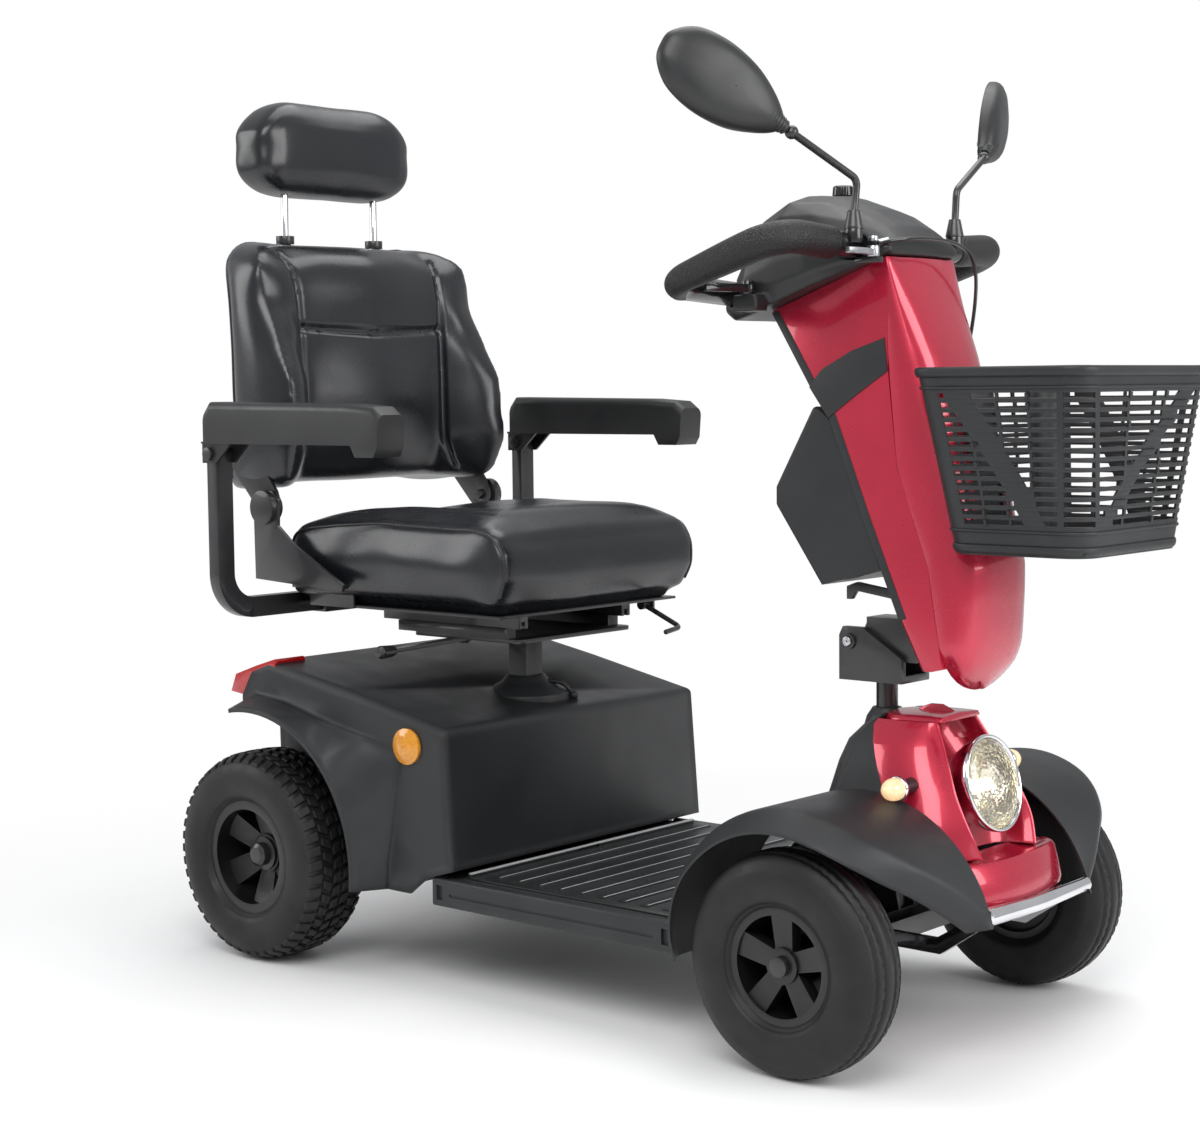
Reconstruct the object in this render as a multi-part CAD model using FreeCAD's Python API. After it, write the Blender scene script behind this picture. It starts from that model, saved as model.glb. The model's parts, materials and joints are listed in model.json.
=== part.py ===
"""Mobility scooter: four wheels, swivelling captain seat, folding tiller, basket and mirrors.

Millimetres. +X is forward, +Y is the driver's left, +Z is up.
The origin is on the ground under the middle of the machine.
"""
import FreeCAD, Part
import math
import os

# ---- driving dimensions -------------------------------------------------------------------
FRONT_AXLE_X = 440.0
FRONT_AXLE_Z = 148.0
FRONT_TYRE_R = 148.0
FRONT_TYRE_W = 88.0
FRONT_WHEEL_Y = 290.0
REAR_AXLE_X = -560.0
REAR_AXLE_Z = 163.0
REAR_TYRE_R = 163.0
REAR_TYRE_W = 128.0
REAR_WHEEL_Y = 299.0
KINGPIN_Y = 220.0
STEM_X = 390.0
STEM_R = 15.0
LINK_ARM = 60.0
TILT_X = 352.0
TILT_Z = 532.0
POST_X = -290.0
RAIL_Y = 110.0
RAIL_W = 28.0
RAIL_Z0 = 136.0
RAIL_Z1 = 164.0
BODY_HALF = 290.0
LIP_HALF = 345.0
WELL_HALF = 215.0
ARCH_R = 225.0
SKIN = 4.0
COLUMN_HALF = 83.0
BASKET_FLOOR_Z = 668.0
BASKET_RIM_Z = 905.0
RECLINE_X = -612.0
RECLINE_Z = 700.0
ARM_X = -610.0
ARM_Y = 345.0
ARM_Z = 788.0
FIT = 0.05

V = FreeCAD.Vector
os.makedirs("parts", exist_ok=True)


# ---- helpers ------------------------------------------------------------------------------
def box(x0, x1, y0, y1, z0, z1):
    return Part.makeBox(x1 - x0, y1 - y0, z1 - z0, V(x0, y0, z0))


def cyl(p, axis, r, h):
    return Part.makeCylinder(r, h, V(*p), V(*axis))


def cone(p, axis, r0, r1, h):
    return Part.makeCone(r0, r1, h, V(*p), V(*axis))


def face(points):
    return Part.Face(Part.makePolygon([V(*p) for p in points] + [V(*points[0])]))


def prism_xz(points, y0, y1):
    return face([(x, y0, z) for x, z in points]).extrude(V(0, y1 - y0, 0))


def prism_xy(points, z0, z1):
    return face([(x, y, z0) for x, y in points]).extrude(V(0, 0, z1 - z0))


def fuse(shapes):
    whole = shapes[0].fuse(shapes[1:]) if len(shapes) > 1 else shapes[0]
    return whole.removeSplitter()


def mirror(shape):
    return shape.mirror(V(0, 0, 0), V(0, 1, 0))


def both(shape):
    return Part.Compound([shape, mirror(shape)])


def spin_y(profile, x, z):
    """Revolve (y, r) pairs about a line parallel to Y through (x, z)."""
    flat = face([(x, y, z + r) for y, r in profile])
    return flat.revolve(V(x, 0, z), V(0, 1, 0), 360)


def spin_z(profile, x, y):
    """Revolve (r, z) pairs about a line parallel to Z through (x, y)."""
    flat = face([(x + r, y, z) for r, z in profile])
    return flat.revolve(V(x, y, 0), V(0, 0, 1), 360)


def route(points, bend):
    """Straight runs joined by tangent arcs; bend is one radius or one for each corner."""
    pts = [V(*p) for p in points]
    edges = []
    start = pts[0]
    for i in range(1, len(pts) - 1):
        r = bend[i - 1] if isinstance(bend, (list, tuple)) else bend
        u = (pts[i - 1] - pts[i]).normalize()
        w = (pts[i + 1] - pts[i]).normalize()
        half = u.getAngle(w) / 2.0
        reach = r / math.tan(half)
        a = pts[i] + u * reach
        b = pts[i] + w * reach
        centre = pts[i] + (u + w).normalize() * (r / math.sin(half))
        mid = centre + (pts[i] - centre).normalize() * r
        edges.append(Part.makeLine(start, a))
        edges.append(Part.Arc(a, mid, b).toShape())
        start = b
    edges.append(Part.makeLine(start, pts[-1]))
    return Part.Wire(edges)


def tube(points, r, bend):
    """Round bar or cord along the route: a cylinder for each run, a ring segment for each arc."""
    parts = []
    for e in route(points, bend).Edges:
        start = e.valueAt(e.FirstParameter)
        along = e.tangentAt(e.FirstParameter)
        if e.Curve.TypeId == "Part::GeomLine":
            parts.append(Part.makeCylinder(r, e.Length, start, along))
        else:
            disc = Part.Face(Part.Wire([Part.makeCircle(r, start, along)]))
            centre = e.Curve.Center
            pole = (start - centre).cross(along)
            turn = math.degrees(e.Length / e.Curve.Radius)
            parts.append(disc.revolve(centre, pole, turn))
    return fuse(parts)


def blade(points, half_x, half_y, bend, side):
    """Rectangular bar along a route; side is the direction of the half_x edge."""
    path = route(points, bend)
    first = V(*points[0])
    along = (V(*points[1]) - first).normalize()
    u = V(*side)
    w = along.cross(u)
    corners = [(1, 1), (1, -1), (-1, -1), (-1, 1)]
    pts = [first + u * (half_x * a) + w * (half_y * b) for a, b in corners]
    outline = Part.makePolygon(pts + [pts[0]])
    return path.makePipeShell([outline], True, True)


def skin(rows):
    """Solid over rows of points, each row a closed loop with the same count of points."""
    n = len(rows[0])
    tris = []
    for low, high in zip(rows, rows[1:]):
        for j in range(n):
            k = (j + 1) % n
            tris.append((low[j], low[k], high[k]))
            tris.append((low[j], high[k], high[j]))
    faces = [face(t) for t in tris]
    for end in (rows[0], rows[-1]):
        mid = [sum(p[i] for p in end) / n for i in range(3)]
        faces += [face((end[j], end[(j + 1) % n], mid)) for j in range(n)]
    shell = Part.makeShell(faces)
    solid = Part.makeSolid(shell)
    return solid.removeSplitter() if solid.Volume > 0 else solid.reversed().removeSplitter()


def round_rect(x0, x1, y0, y1, r, z):
    """Rounded rectangle wire in a level plane."""
    flat = face([(x0, y0, z), (x1, y0, z), (x1, y1, z), (x0, y1, z)])
    block = flat.extrude(V(0, 0, 1))
    upright = [e for e in block.Edges if abs(e.tangentAt(e.FirstParameter).z) > 0.9]
    block = block.makeFillet(r, upright)
    low = [f for f in block.Faces if abs(f.CenterOfMass.z - z) < 1e-6]
    return low[0].OuterWire


def soften(shape, r, pick):
    """Fillet the edges that pick() accepts."""
    return shape.makeFillet(r, [e for e in shape.Edges if pick(e)])


def along_y(e):
    return abs(e.tangentAt(e.FirstParameter).y) > 0.99


def along_x(e):
    return abs(e.tangentAt(e.FirstParameter).x) > 0.99


def along_z(e):
    return abs(e.tangentAt(e.FirstParameter).z) > 0.99


def save(node, shape):
    shape.exportStep("parts/" + node + ".step")


# ---- chassis and drive --------------------------------------------------------------------
def rail(y):
    half = RAIL_W / 2.0
    outline = [
        (-620, 201), (-492, 201), (-432, RAIL_Z0), (424, RAIL_Z0),
        (424, RAIL_Z1), (-421, RAIL_Z1), (-480, 229), (-620, 229),
    ]
    hollow = [
        (-621, 204), (-493, 204), (-433, RAIL_Z0 + 3), (425, RAIL_Z0 + 3),
        (425, RAIL_Z1 - 3), (-420, RAIL_Z1 - 3), (-479, 226), (-621, 226),
    ]
    bar = prism_xz(outline, y - half, y + half)
    return bar.cut(prism_xz(hollow, y - half + 3, y + half - 3))


def chassis_frame():
    inner = RAIL_Y - RAIL_W / 2.0
    parts = [rail(RAIL_Y), rail(-RAIL_Y)]
    for x in (-384, -310, -60, 190):
        parts.append(box(x, x + 40, -inner, inner, RAIL_Z0 + 2, RAIL_Z1))
    parts.append(box(362, 424, -inner, inner, RAIL_Z0, RAIL_Z1))
    parts.append(box(-600, -570, -inner, inner, 203, 227))
    socket = box(POST_X - 24, POST_X + 24, -24, 24, RAIL_Z0 + 2, 236)
    parts.append(socket)
    parts.append(cyl((STEM_X, 0, RAIL_Z0), (0, 0, 1), 25, 190))
    for s in (1, -1):
        y0 = s * RAIL_Y - 14
        parts.append(box(REAR_AXLE_X - 24, REAR_AXLE_X + 24, y0, y0 + 28, 185.5, 203))
        gusset = [(424, 164), (340, 164), (STEM_X - 20, 250), (STEM_X + 15, 250)]
        parts.append(prism_xz(gusset, s * 19 - 3, s * 19 + 3))
    whole = fuse(parts)
    whole = whole.cut(box(POST_X - 18.6, POST_X + 18.6, -18.6, 18.6, 150, 240))
    for half, r in ((50, 61), (72, 49.5)):
        whole = whole.cut(cyl((REAR_AXLE_X, -half, REAR_AXLE_Z), (0, 1, 0), r, 2 * half))
    return whole.cut(cyl((STEM_X, 0, 120), (0, 0, 1), STEM_R + FIT, 220))


def seat_post():
    post = box(POST_X - 18.5, POST_X + 18.5, -18.5, 18.5, 150, 486)
    return post.cut(cyl((POST_X, 0, 430), (0, 0, 1), 12.0 + FIT, 60))


def post_cover(hull):
    cover = spin_z([(27, 380), (72, 380), (70, 406), (40, 422), (29, 434), (27, 434)], POST_X, 0)
    pin = tube([(-262, 16, 424), (-240, 32, 420), (-228, 42, 404)], 3.5, 10)
    knob = Part.makeSphere(7.0, V(-227, 43, 400))
    return Part.Compound([cover.cut(hull), pin.fuse(knob).cut(cover).cut(hull)])


def battery():
    case = box(-388, -234, 30, 160, RAIL_Z1, 326)
    case = soften(case, 6, along_z)
    terminals = [cyl((-370, 60, 326), (0, 0, 1), 8, 12), cyl((-256, 60, 326), (0, 0, 1), 8, 12)]
    strap = box(-340, -264, 112, 128, 326, 332)
    return fuse([case] + terminals + [strap])


def transaxle():
    half = [
        (0, 0), (0, 60), (24, 60), (48, 48), (70, 26), (90, 22.4), (228, 22.4), (228, 32), (233, 32),
        (233, 12.5), (326, 12.5), (326, 0),
    ]
    side = spin_y(half, REAR_AXLE_X, REAR_AXLE_Z)
    motor = cyl((-520, 0, REAR_AXLE_Z), (1, 0, 0), 44, 116)
    bell = cyl((-404, 0, REAR_AXLE_Z), (1, 0, 0), 36, 14)
    return fuse([side, mirror(side), motor, bell])


def motor_controller():
    tray = box(-600, -492, -96, 96, 229, 233)
    case = soften(box(-590, -500, -62, 62, 233, 272), 5, along_z)
    fins = [box(-590, -500, y, y + 3, 272, 280) for y in range(-54, 56, 12)]
    return fuse([tray, case] + fins)


# ---- rear body ----------------------------------------------------------------------------
HULL = [
    (-338, 137), (-261, 137), (-225, 165), (-172, 181), (-188, 388), (-395, 430),
    (-571, 462), (-606, 450), (-634, 404), (-630, 250), (-580, 212), (-420, 205),
]


def hull_outer():
    body = prism_xz(HULL, -BODY_HALF, BODY_HALF)

    def crown(e):
        mid = e.CenterOfMass
        rim = abs(abs(mid.y) - BODY_HALF) < 1 and mid.z > 384 and mid.x > -606
        return (rim and not along_y(e)) or (along_y(e) and mid.x > -200 and mid.z > 380)

    return soften(body, 10, crown)


def crease_radius(deg):
    """Distance from the axle to the crease where the wheel arch leaves the side wall."""
    if deg < 33:
        return 251.0 + 79.0 * (max(deg, 0.0) / 33.0) ** 1.6
    a = math.radians(deg)
    return max(235.2 / (math.sin(a) + 0.171 * math.cos(a)), 236.0)


def arch_section(deg, crease_in, lip_out, low, rise):
    a = math.radians(deg)
    crease = crease_radius(deg) - crease_in
    pts = [(WELL_HALF, low), (lip_out, low), (lip_out, low + rise), (BODY_HALF, crease), (WELL_HALF, crease)]
    return [(REAR_AXLE_X + r * math.cos(a), y, REAR_AXLE_Z + r * math.sin(a)) for y, r in pts]


def wing(crease_in, lip_out, low, rise):
    """Flared wheel arch of the left side."""
    angles = [-6, 4, 14, 24, 33, 44, 56, 70, 84, 101]
    return skin([arch_section(a, crease_in, lip_out, low, rise) for a in angles])


def wheel_well(r, half):
    return cyl((REAR_AXLE_X, half, REAR_AXLE_Z), (0, 1, 0), r, 200)


def rear_shroud(hull):
    flare = wing(0, LIP_HALF, ARCH_R - 3, 9)
    outer = hull.fuse(flare).fuse(mirror(flare))
    behind = box(-700, -607, WELL_HALF, 400, 0, 333)
    for tool in (wheel_well(ARCH_R, WELL_HALF), behind, box(-560, -340, WELL_HALF, 400, 0, 163)):
        outer = outer.cut(tool).cut(mirror(tool))
    inner_line = [
        (-345, 100), (-262, 100), (-228, 169), (-176.3, 184.5), (-191.7, 384.8), (-395.5, 425.9),
        (-570, 457.8), (-603, 446.4), (-629.9, 403), (-626, 252), (-626, 100),
    ]
    cavity = prism_xz(inner_line, -BODY_HALF + SKIN, BODY_HALF - SKIN)
    guard = fuse([wheel_well(ARCH_R + SKIN, WELL_HALF - SKIN), box(-700, -560, WELL_HALF - SKIN, 400, 0, 337)])
    cavity = cavity.cut(guard).cut(mirror(guard))
    pocket = wing(SKIN + 3, LIP_HALF - 8, ARCH_R + SKIN - 2, 1).cut(guard)
    shell = outer.cut(cavity).cut(pocket).cut(mirror(pocket))
    shell = shell.cut(cyl((POST_X, 0, 380), (0, 0, 1), 28, 60))
    for s in (1, -1):
        shell = shell.cut(box(-262, -215, s * RAIL_Y - 14.5, s * RAIL_Y + 14.5, 100, RAIL_Z1 + 0.5))
    big = max(shell.Solids, key=lambda s: s.Volume)
    return big


def rear_lamps(hull):
    outline = [(-556, 466), (-600, 453), (-650, 436), (-662, 408), (-606, 402), (-556, 440)]
    pod = prism_xz(outline, 226, 289)
    pod = soften(pod, 6, lambda e: not along_y(e) and e.CenterOfMass.y < 230 and e.CenterOfMass.x < -560)
    lamp = max(pod.cut(hull).Solids, key=lambda s: s.Volume)
    return both(lamp)


def side_reflectors(shroud):
    disc = spin_y([(0, 0), (0, 27), (5, 27), (7, 22), (9, 18), (12, 0)], -261, 358)
    disc.translate(V(0, BODY_HALF, 0))
    return both(max(disc.cut(shroud).Solids, key=lambda s: s.Volume))


# ---- floor --------------------------------------------------------------------------------
def floor_pan():
    plate = box(-168, 236, -272, 272, RAIL_Z1, 168)
    ribs = [box(x, x + 4, -96, 96, 150, RAIL_Z1) for x in (-130, 0, 60, 150)]
    skirts = [box(-168, 236, s * 270 - 2, s * 270 + 2, 132, RAIL_Z1) for s in (1, -1)]
    ramp = [(226, 164), (236, 164), (345, 274.8), (345, 279.8), (339, 279.8), (230, 168)]
    toe = prism_xz(ramp, -125, 125)
    sides = [(236, 164), (345, 274.8), (345, 250), (262, 164)]
    cheeks = [prism_xz(sides, s * 123 - 2, s * 123 + 2) for s in (1, -1)]
    return fuse([plate] + ribs + skirts + [toe] + cheeks)


def floor_mat():
    mat = box(-160, 222, -268, 268, 168, 171)
    ribs = [box(x, x + 14, -250, 250, 171, 173.2) for x in range(-130, 200, 40)]
    return fuse([mat] + ribs)


def floor_strips():
    strips = []
    for s in (1, -1):
        y0 = 24 if s > 0 else -262
        strips.append(box(-168, -161, y0, y0 + 238, 168, 174))
    return Part.Compound(strips)


def side_sills():
    sill = box(-214, 241, 272, 290, 126, 168)
    sill = soften(sill, 5, along_x)
    sill = soften(sill, 7, lambda e: along_z(e) and e.CenterOfMass.x > 235)
    groove = box(-180, 206, 288, 291, 143, 147)
    slots = [box(x, x + 12, 285, 291, 136, 158) for x in (-206, 220)]
    sill = sill.cut(groove)
    for s in slots:
        sill = sill.cut(s)
    return both(sill)


# ---- front body ---------------------------------------------------------------------------
FENDER = [
    (187, 320), (172, 332), (150, 340), (125, 340), (100, 340), (80, 340), (60, 325),
    (45, 290), (33, 240), (20, 185), (12, 150),
]


def fender_section(deg, edge):
    a = math.radians(deg)
    ridge = max(edge - 35.0, 134.0)
    pts = [(128, 200), (ridge, 200), (edge, 176), (edge, 172.5), (ridge - 1.5, 197), (128, 197)]
    return [(FRONT_AXLE_X + r * math.cos(a), y, FRONT_AXLE_Z + r * math.sin(a)) for y, r in pts]


def front_fender():
    return skin([fender_section(a, e) for a, e in FENDER])


def hood_level(z, back, front, half, cut):
    """Eight-sided level of the hood; cut is the size of its corners."""
    return [
        (back, half - cut * 0.6, z), (back + cut * 0.6, half, z), (front - cut * 1.6, half, z),
        (front - cut * 0.5, half - cut * 0.7, z), (front, half - cut * 1.6, z), (front, -half + cut * 1.6, z),
        (front - cut * 0.5, -half + cut * 0.7, z), (front - cut * 1.6, -half, z), (back + cut * 0.6, -half, z),
        (back, -half + cut * 0.6, z),
    ]


def hood_levels(inset):
    rows = [
        (262, 346, 598, 125, 36), (300, 350, 576, 123, 36), (340, 360, 556, 113, 34),
        (376, 368, 540, 102, 30), (404, 376, 524, 88, 26), (424, 392, 512, 72, 22), (438, 412, 500, 56, 18),
    ]
    levels = []
    for z, back, front, half, cut in rows:
        level = z - inset if z > 300 else z
        levels.append(hood_level(level, back + inset, front - inset, half - inset, cut))
    return skin(levels)


def hood_shell():
    shell = hood_levels(0).cut(hood_levels(3))
    shell = shell.cut(cyl((STEM_X, 0, 380), (0, 0, 1), 30, 90))
    tilt = math.radians(14)
    out = (math.cos(tilt), 0, math.sin(tilt))
    recess = cyl((557 - 60 * out[0], 0, 351 - 60 * out[2]), out, 67, 160)
    return shell.cut(recess)


def split_tool():
    """Everything behind the seam between the hood and its rear cover."""
    return prism_xz([(200, 200), (330, 200), (428, 464), (428, 520), (200, 520)], -200, 200)


def front_cowl(shell):
    fin = prism_xz([(440, 436), (500, 436), (486, 452), (452, 448)], -3, 3)
    fin = fin.cut(hood_levels(0))
    return Part.Compound([shell.cut(split_tool()), fin])


def cowl_back_cover(shell):
    cover = shell.common(split_tool())
    boot = spin_z([(15.6, 392), (40, 392), (40, 404), (32, 414), (28, 428), (20, 440), (15.6, 440)], STEM_X, 0)
    return Part.Compound([cover, boot.cut(shell)])


def headlight_shell():
    tilt = 14
    wall = [(0, 0), (0, 46), (30, 58), (52, 66.5), (62, 66.5), (62, 61.05), (53.9, 61.05), (44, 52), (8, 30), (8, 0)]
    body = spin_y(wall, 0, 0)
    body.rotate(V(0, 0, 0), V(0, 0, 1), -90)
    body.rotate(V(0, 0, 0), V(0, 1, 0), -tilt)
    body.translate(V(557 - 60 * math.cos(math.radians(tilt)), 0, 351 - 60 * math.sin(math.radians(tilt))))
    return body


def headlight_lens():
    tilt = 14
    glass = spin_y([(54, 0), (54, 61), (60, 61), (66, 40), (69, 0)], 0, 0)
    glass.rotate(V(0, 0, 0), V(0, 0, 1), -90)
    glass.rotate(V(0, 0, 0), V(0, 1, 0), -tilt)
    glass.translate(V(557 - 60 * math.cos(math.radians(tilt)), 0, 351 - 60 * math.sin(math.radians(tilt))))
    return glass


def nose_panel():
    outline = [(556, 262), (600, 262), (607, 254), (617, 214), (606, 200), (556, 200)]
    block = prism_xz(outline, -122, 122)
    block = soften(block, 16, lambda e: not along_y(e) and e.CenterOfMass.x > 600 and abs(e.CenterOfMass.y) > 120)
    inner = prism_xz([(550, 259), (598, 259), (604, 253), (613.5, 214), (604, 203), (550, 203)], -119, 119)
    return block.cut(inner)


def front_indicators(shell):
    lamp = spin_y([(100, 0), (100, 8), (136, 8), (138, 14), (150, 15.5), (156, 14), (164, 9), (168, 0)], 497, 357)
    return both(max(lamp.cut(shell).Solids, key=lambda s: s.Volume))


def bumper_bar():
    bar = tube([(626, -127.5, 202), (624, 0, 197), (626, 127.5, 202)], 11, 600)
    legs = []
    for s in (1, -1):
        outline = [(455, 140), (455, 160), (540, 160), (618, 208), (630, 196), (548, 140)]
        legs.append(prism_xz(outline, s * RAIL_Y - 5, s * RAIL_Y + 5))
    return fuse([bar] + legs)


# ---- front axle and steering --------------------------------------------------------------
def front_axle_beam():
    parts = [box(425, 455, -200, 200, 134, 162)]
    for s in (1, -1):
        y = s * KINGPIN_Y
        lo, hi = sorted((s * 188, y))
        for z0, z1 in ((116, 125), (171, 180)):
            parts.append(box(424, 456, lo, hi, z0, z1))
            parts.append(cyl((FRONT_AXLE_X, y, z0), (0, 0, 1), 16, z1 - z0))
        lo, hi = sorted((s * 188, s * 200))
        parts.append(box(424, 456, lo, hi, 116, 180))
        parts.append(cyl((FRONT_AXLE_X, y, 116), (0, 0, 1), 7, 64))
        parts.append(cyl((FRONT_AXLE_X, y, 180), (0, 0, 1), 11, 6))
    return fuse(parts)


def knuckle():
    y = KINGPIN_Y
    hub = cyl((FRONT_AXLE_X, y, 125.3), (0, 0, 1), 15, 45.4)
    stub = cyl((FRONT_AXLE_X, y, FRONT_AXLE_Z), (0, 1, 0), 8, 106)
    collar = cyl((FRONT_AXLE_X, y + 8, FRONT_AXLE_Z), (0, 1, 0), 14, 26.5)
    nut = cyl((FRONT_AXLE_X, 318.3, FRONT_AXLE_Z), (0, 1, 0), 13, 8)
    lug = box(FRONT_AXLE_X - 42, FRONT_AXLE_X, y - 7, y + 7, 130, 146)
    web = box(FRONT_AXLE_X - 42, FRONT_AXLE_X - 29, y - 7, y + 7, 100, 146)
    arm = box(FRONT_AXLE_X - 60, FRONT_AXLE_X - 29, y - 8, y + 8, 100, 109)
    eye = cyl((FRONT_AXLE_X - LINK_ARM, y, 100), (0, 0, 1), 10, 9)
    pin = cyl((FRONT_AXLE_X - LINK_ARM, y, 109), (0, 0, 1), 5, 15)
    whole = fuse([hub, stub, collar, nut, lug, web, arm, eye, pin])
    return whole.cut(cyl((FRONT_AXLE_X, y, 120), (0, 0, 1), 7 + FIT, 60))


def track_rod():
    centre = (STEM_X - LINK_ARM, 0)
    parts = [cyl((centre[0], 0, 111), (0, 0, 1), 11, 12)]
    ends = []
    for s in (1, -1):
        tip = (FRONT_AXLE_X - LINK_ARM, s * KINGPIN_Y)
        parts.append(cyl((tip[0], tip[1], 111), (0, 0, 1), 11, 12))
        parts.append(tube([(centre[0], 0, 117), (centre[0], s * 60, 117), (tip[0], tip[1], 117)], 5.5, 80))
        ends.append(tip)
    whole = fuse(parts)
    for x, y in [centre] + ends:
        whole = whole.cut(cyl((x, y, 105), (0, 0, 1), 5 + FIT, 30))
    return whole


def steering_stem():
    stem = cyl((STEM_X, 0, 124.5), (0, 0, 1), STEM_R, 358)
    arm = prism_xy([(390, -16), (326, -10), (326, 10), (390, 16)], 124.5, 134.5)
    boss = cyl((STEM_X - LINK_ARM, 0, 124.5), (0, 0, 1), 11, 10)
    hub = cyl((STEM_X, 0, 124.5), (0, 0, 1), 19, 10)
    pin = cyl((STEM_X - LINK_ARM, 0, 109.5), (0, 0, 1), 5, 15)
    collar = cyl((STEM_X, 0, 326.3), (0, 0, 1), 24, 12)
    base = box(334, 436, -35, 35, 478, 488)
    cheeks = []
    for s in (1, -1):
        outline = [(334, 480), (436, 480), (436, 512), (372, 552), (340, 552), (334, 540)]
        cheeks.append(prism_xz(outline, s * 29.5 - 5.5, s * 29.5 + 5.5))
    bolt = cyl((TILT_X, -41, TILT_Z), (0, 1, 0), 6, 82)
    heads = [cyl((TILT_X, y, TILT_Z), (0, 1, 0), 11, 6) for y in (-41, 35)]
    return fuse([stem, arm, boss, hub, pin, collar, base, bolt] + cheeks + heads)


# ---- wheels -------------------------------------------------------------------------------
def groove_ring(y, r, w, depth, x, z):
    profile = [(y - w / 2, r - depth), (y - w / 2, r + 2), (y + w / 2, r + 2), (y + w / 2, r - depth)]
    return spin_y(profile, x, z)


def front_tyre():
    x, z, r, y = FRONT_AXLE_X, FRONT_AXLE_Z, FRONT_TYRE_R, FRONT_WHEEL_Y
    h = FRONT_TYRE_W / 2
    profile = [
        (y - 33, 75), (y - h + 4, 84), (y - h, 104), (y - h + 2, 122), (y - h + 9, 138),
        (y - 24, 146), (y, r), (y + 24, 146), (y + h - 9, 138), (y + h - 2, 122),
        (y + h, 104), (y + h - 4, 84), (y + 33, 75),
    ]
    tyre = spin_y(profile, x, z)
    for dy in (-21, -7, 7, 21):
        tyre = tyre.cut(groove_ring(y + dy, r, 5, 7, x, z))
    return tyre


def front_rim():
    x, z, y = FRONT_AXLE_X, FRONT_AXLE_Z, FRONT_WHEEL_Y
    barrel = [
        (y - 34, 66), (y - 34, 80), (y - 31, 80), (y - 31, 75), (y + 31, 75), (y + 31, 80),
        (y + 34, 80), (y + 34, 66), (y + 30, 70), (y - 30, 70),
    ]
    parts = [spin_y(barrel, x, z)]
    parts.append(spin_y([(255, 8), (255, 24), (318, 24), (318, 8)], x, z))
    for k in range(5):
        spoke = skin([
            [(x - 13, 292, z + 18), (x + 13, 292, z + 18), (x + 13, 312, z + 18), (x - 13, 312, z + 18)],
            [(x - 17, 298, z + 71), (x + 17, 298, z + 71), (x + 17, 318, z + 71), (x - 17, 318, z + 71)],
        ])
        spoke.rotate(V(x, y, z), V(0, 1, 0), 72 * k)
        parts.append(spoke)
    return fuse(parts).cut(cyl((x, 200, z), (0, 1, 0), 8 + FIT, 200))


def rear_tyre():
    x, z, r, y = REAR_AXLE_X, REAR_AXLE_Z, REAR_TYRE_R, REAR_WHEEL_Y
    h = REAR_TYRE_W / 2
    profile = [
        (y - 48, 85), (y - h + 5, 94), (y - h, 116), (y - h + 3, 138), (y - h + 12, 153),
        (y - 36, 160), (y, r), (y + 36, 160), (y + h - 12, 153), (y + h - 3, 138),
        (y + h, 116), (y + h - 5, 94), (y + 48, 85),
    ]
    tyre = spin_y(profile, x, z)
    for dy in (-20, 20):
        tyre = tyre.cut(groove_ring(y + dy, r, 7, 8, x, z))
    notches = []
    for k in range(22):
        for s in (1, -1):
            cutter = box(x - 5, x + 5, y + s * 48 - 20, y + s * 48 + 20, z + 152, z + 172)
            cutter.rotate(V(x, y, z), V(0, 1, 0), 360.0 / 22 * k + (8 if s > 0 else 0))
            notches.append(cutter)
    return tyre.cut(Part.Compound(notches))


def rear_rim():
    x, z, y = REAR_AXLE_X, REAR_AXLE_Z, REAR_WHEEL_Y
    barrel = [
        (y - 50, 74), (y - 50, 92), (y - 46, 92), (y - 46, 85), (y + 46, 85), (y + 46, 92),
        (y + 50, 92), (y + 50, 74), (y + 45, 79), (y - 45, 79),
    ]
    parts = [spin_y(barrel, x, z), spin_y([(240, 12), (240, 30), (312, 30), (312, 12)], x, z)]
    for k in range(6):
        spoke = skin([
            [(x - 15, 284, z + 24), (x + 15, 284, z + 24), (x + 15, 306, z + 24), (x - 15, 306, z + 24)],
            [(x - 21, 296, z + 80), (x + 21, 296, z + 80), (x + 21, 322, z + 80), (x - 21, 322, z + 80)],
        ])
        spoke.rotate(V(x, y, z), V(0, 1, 0), 60 * k)
        parts.append(spoke)
    return fuse(parts).cut(cyl((x, 200, z), (0, 1, 0), 12.5 + FIT, 200))


def hub_nut():
    """Nut and washer that keep a rear wheel on its shaft."""
    return spin_y([(312.3, 12.5), (312.3, 26), (317, 26), (317, 18), (330, 18), (334, 12), (334, 0), (326, 0), (326, 12.5)],
                  REAR_AXLE_X, REAR_AXLE_Z)


# ---- tiller -------------------------------------------------------------------------------
COLUMN_REAR = [(498, 502), (463, 571), (406, 704), (351, 840), (320, 882), (254, 985)]
SEAM = [(444, 1053), (446, 902), (460, 775), (508, 644), (530, 510)]


def tiller_column():
    block = prism_xz([(372, 507), (452, 507), (458, 566), (372, 566)], -23.6, 23.6)
    eye = cyl((TILT_X, -23.6, TILT_Z), (0, 1, 0), 15, 47.2)
    neck = box(352, 390, -23.6, 23.6, 520, 546)
    tube_line = [(430, 560), (462, 560), (352, 1010), (316, 1010)]
    mast = prism_xz(tube_line, -18, 18)
    head = prism_xz([(300, 990), (392, 1022), (392, 1036), (300, 1004)], -60, 60)
    pin = cyl((434, -44, 598), (0, 1, 0), 4, 28)
    whole = fuse([block, eye, neck, mast, head, pin])
    return whole.cut(cyl((TILT_X, -30, TILT_Z), (0, 1, 0), 6 + FIT, 60))


def column_solid(half, inset):
    rear = [(x + inset, z) for x, z in COLUMN_REAR]
    front = [(x - inset, z) for x, z in SEAM]
    return prism_xz(rear + front, -half, half)


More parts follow.
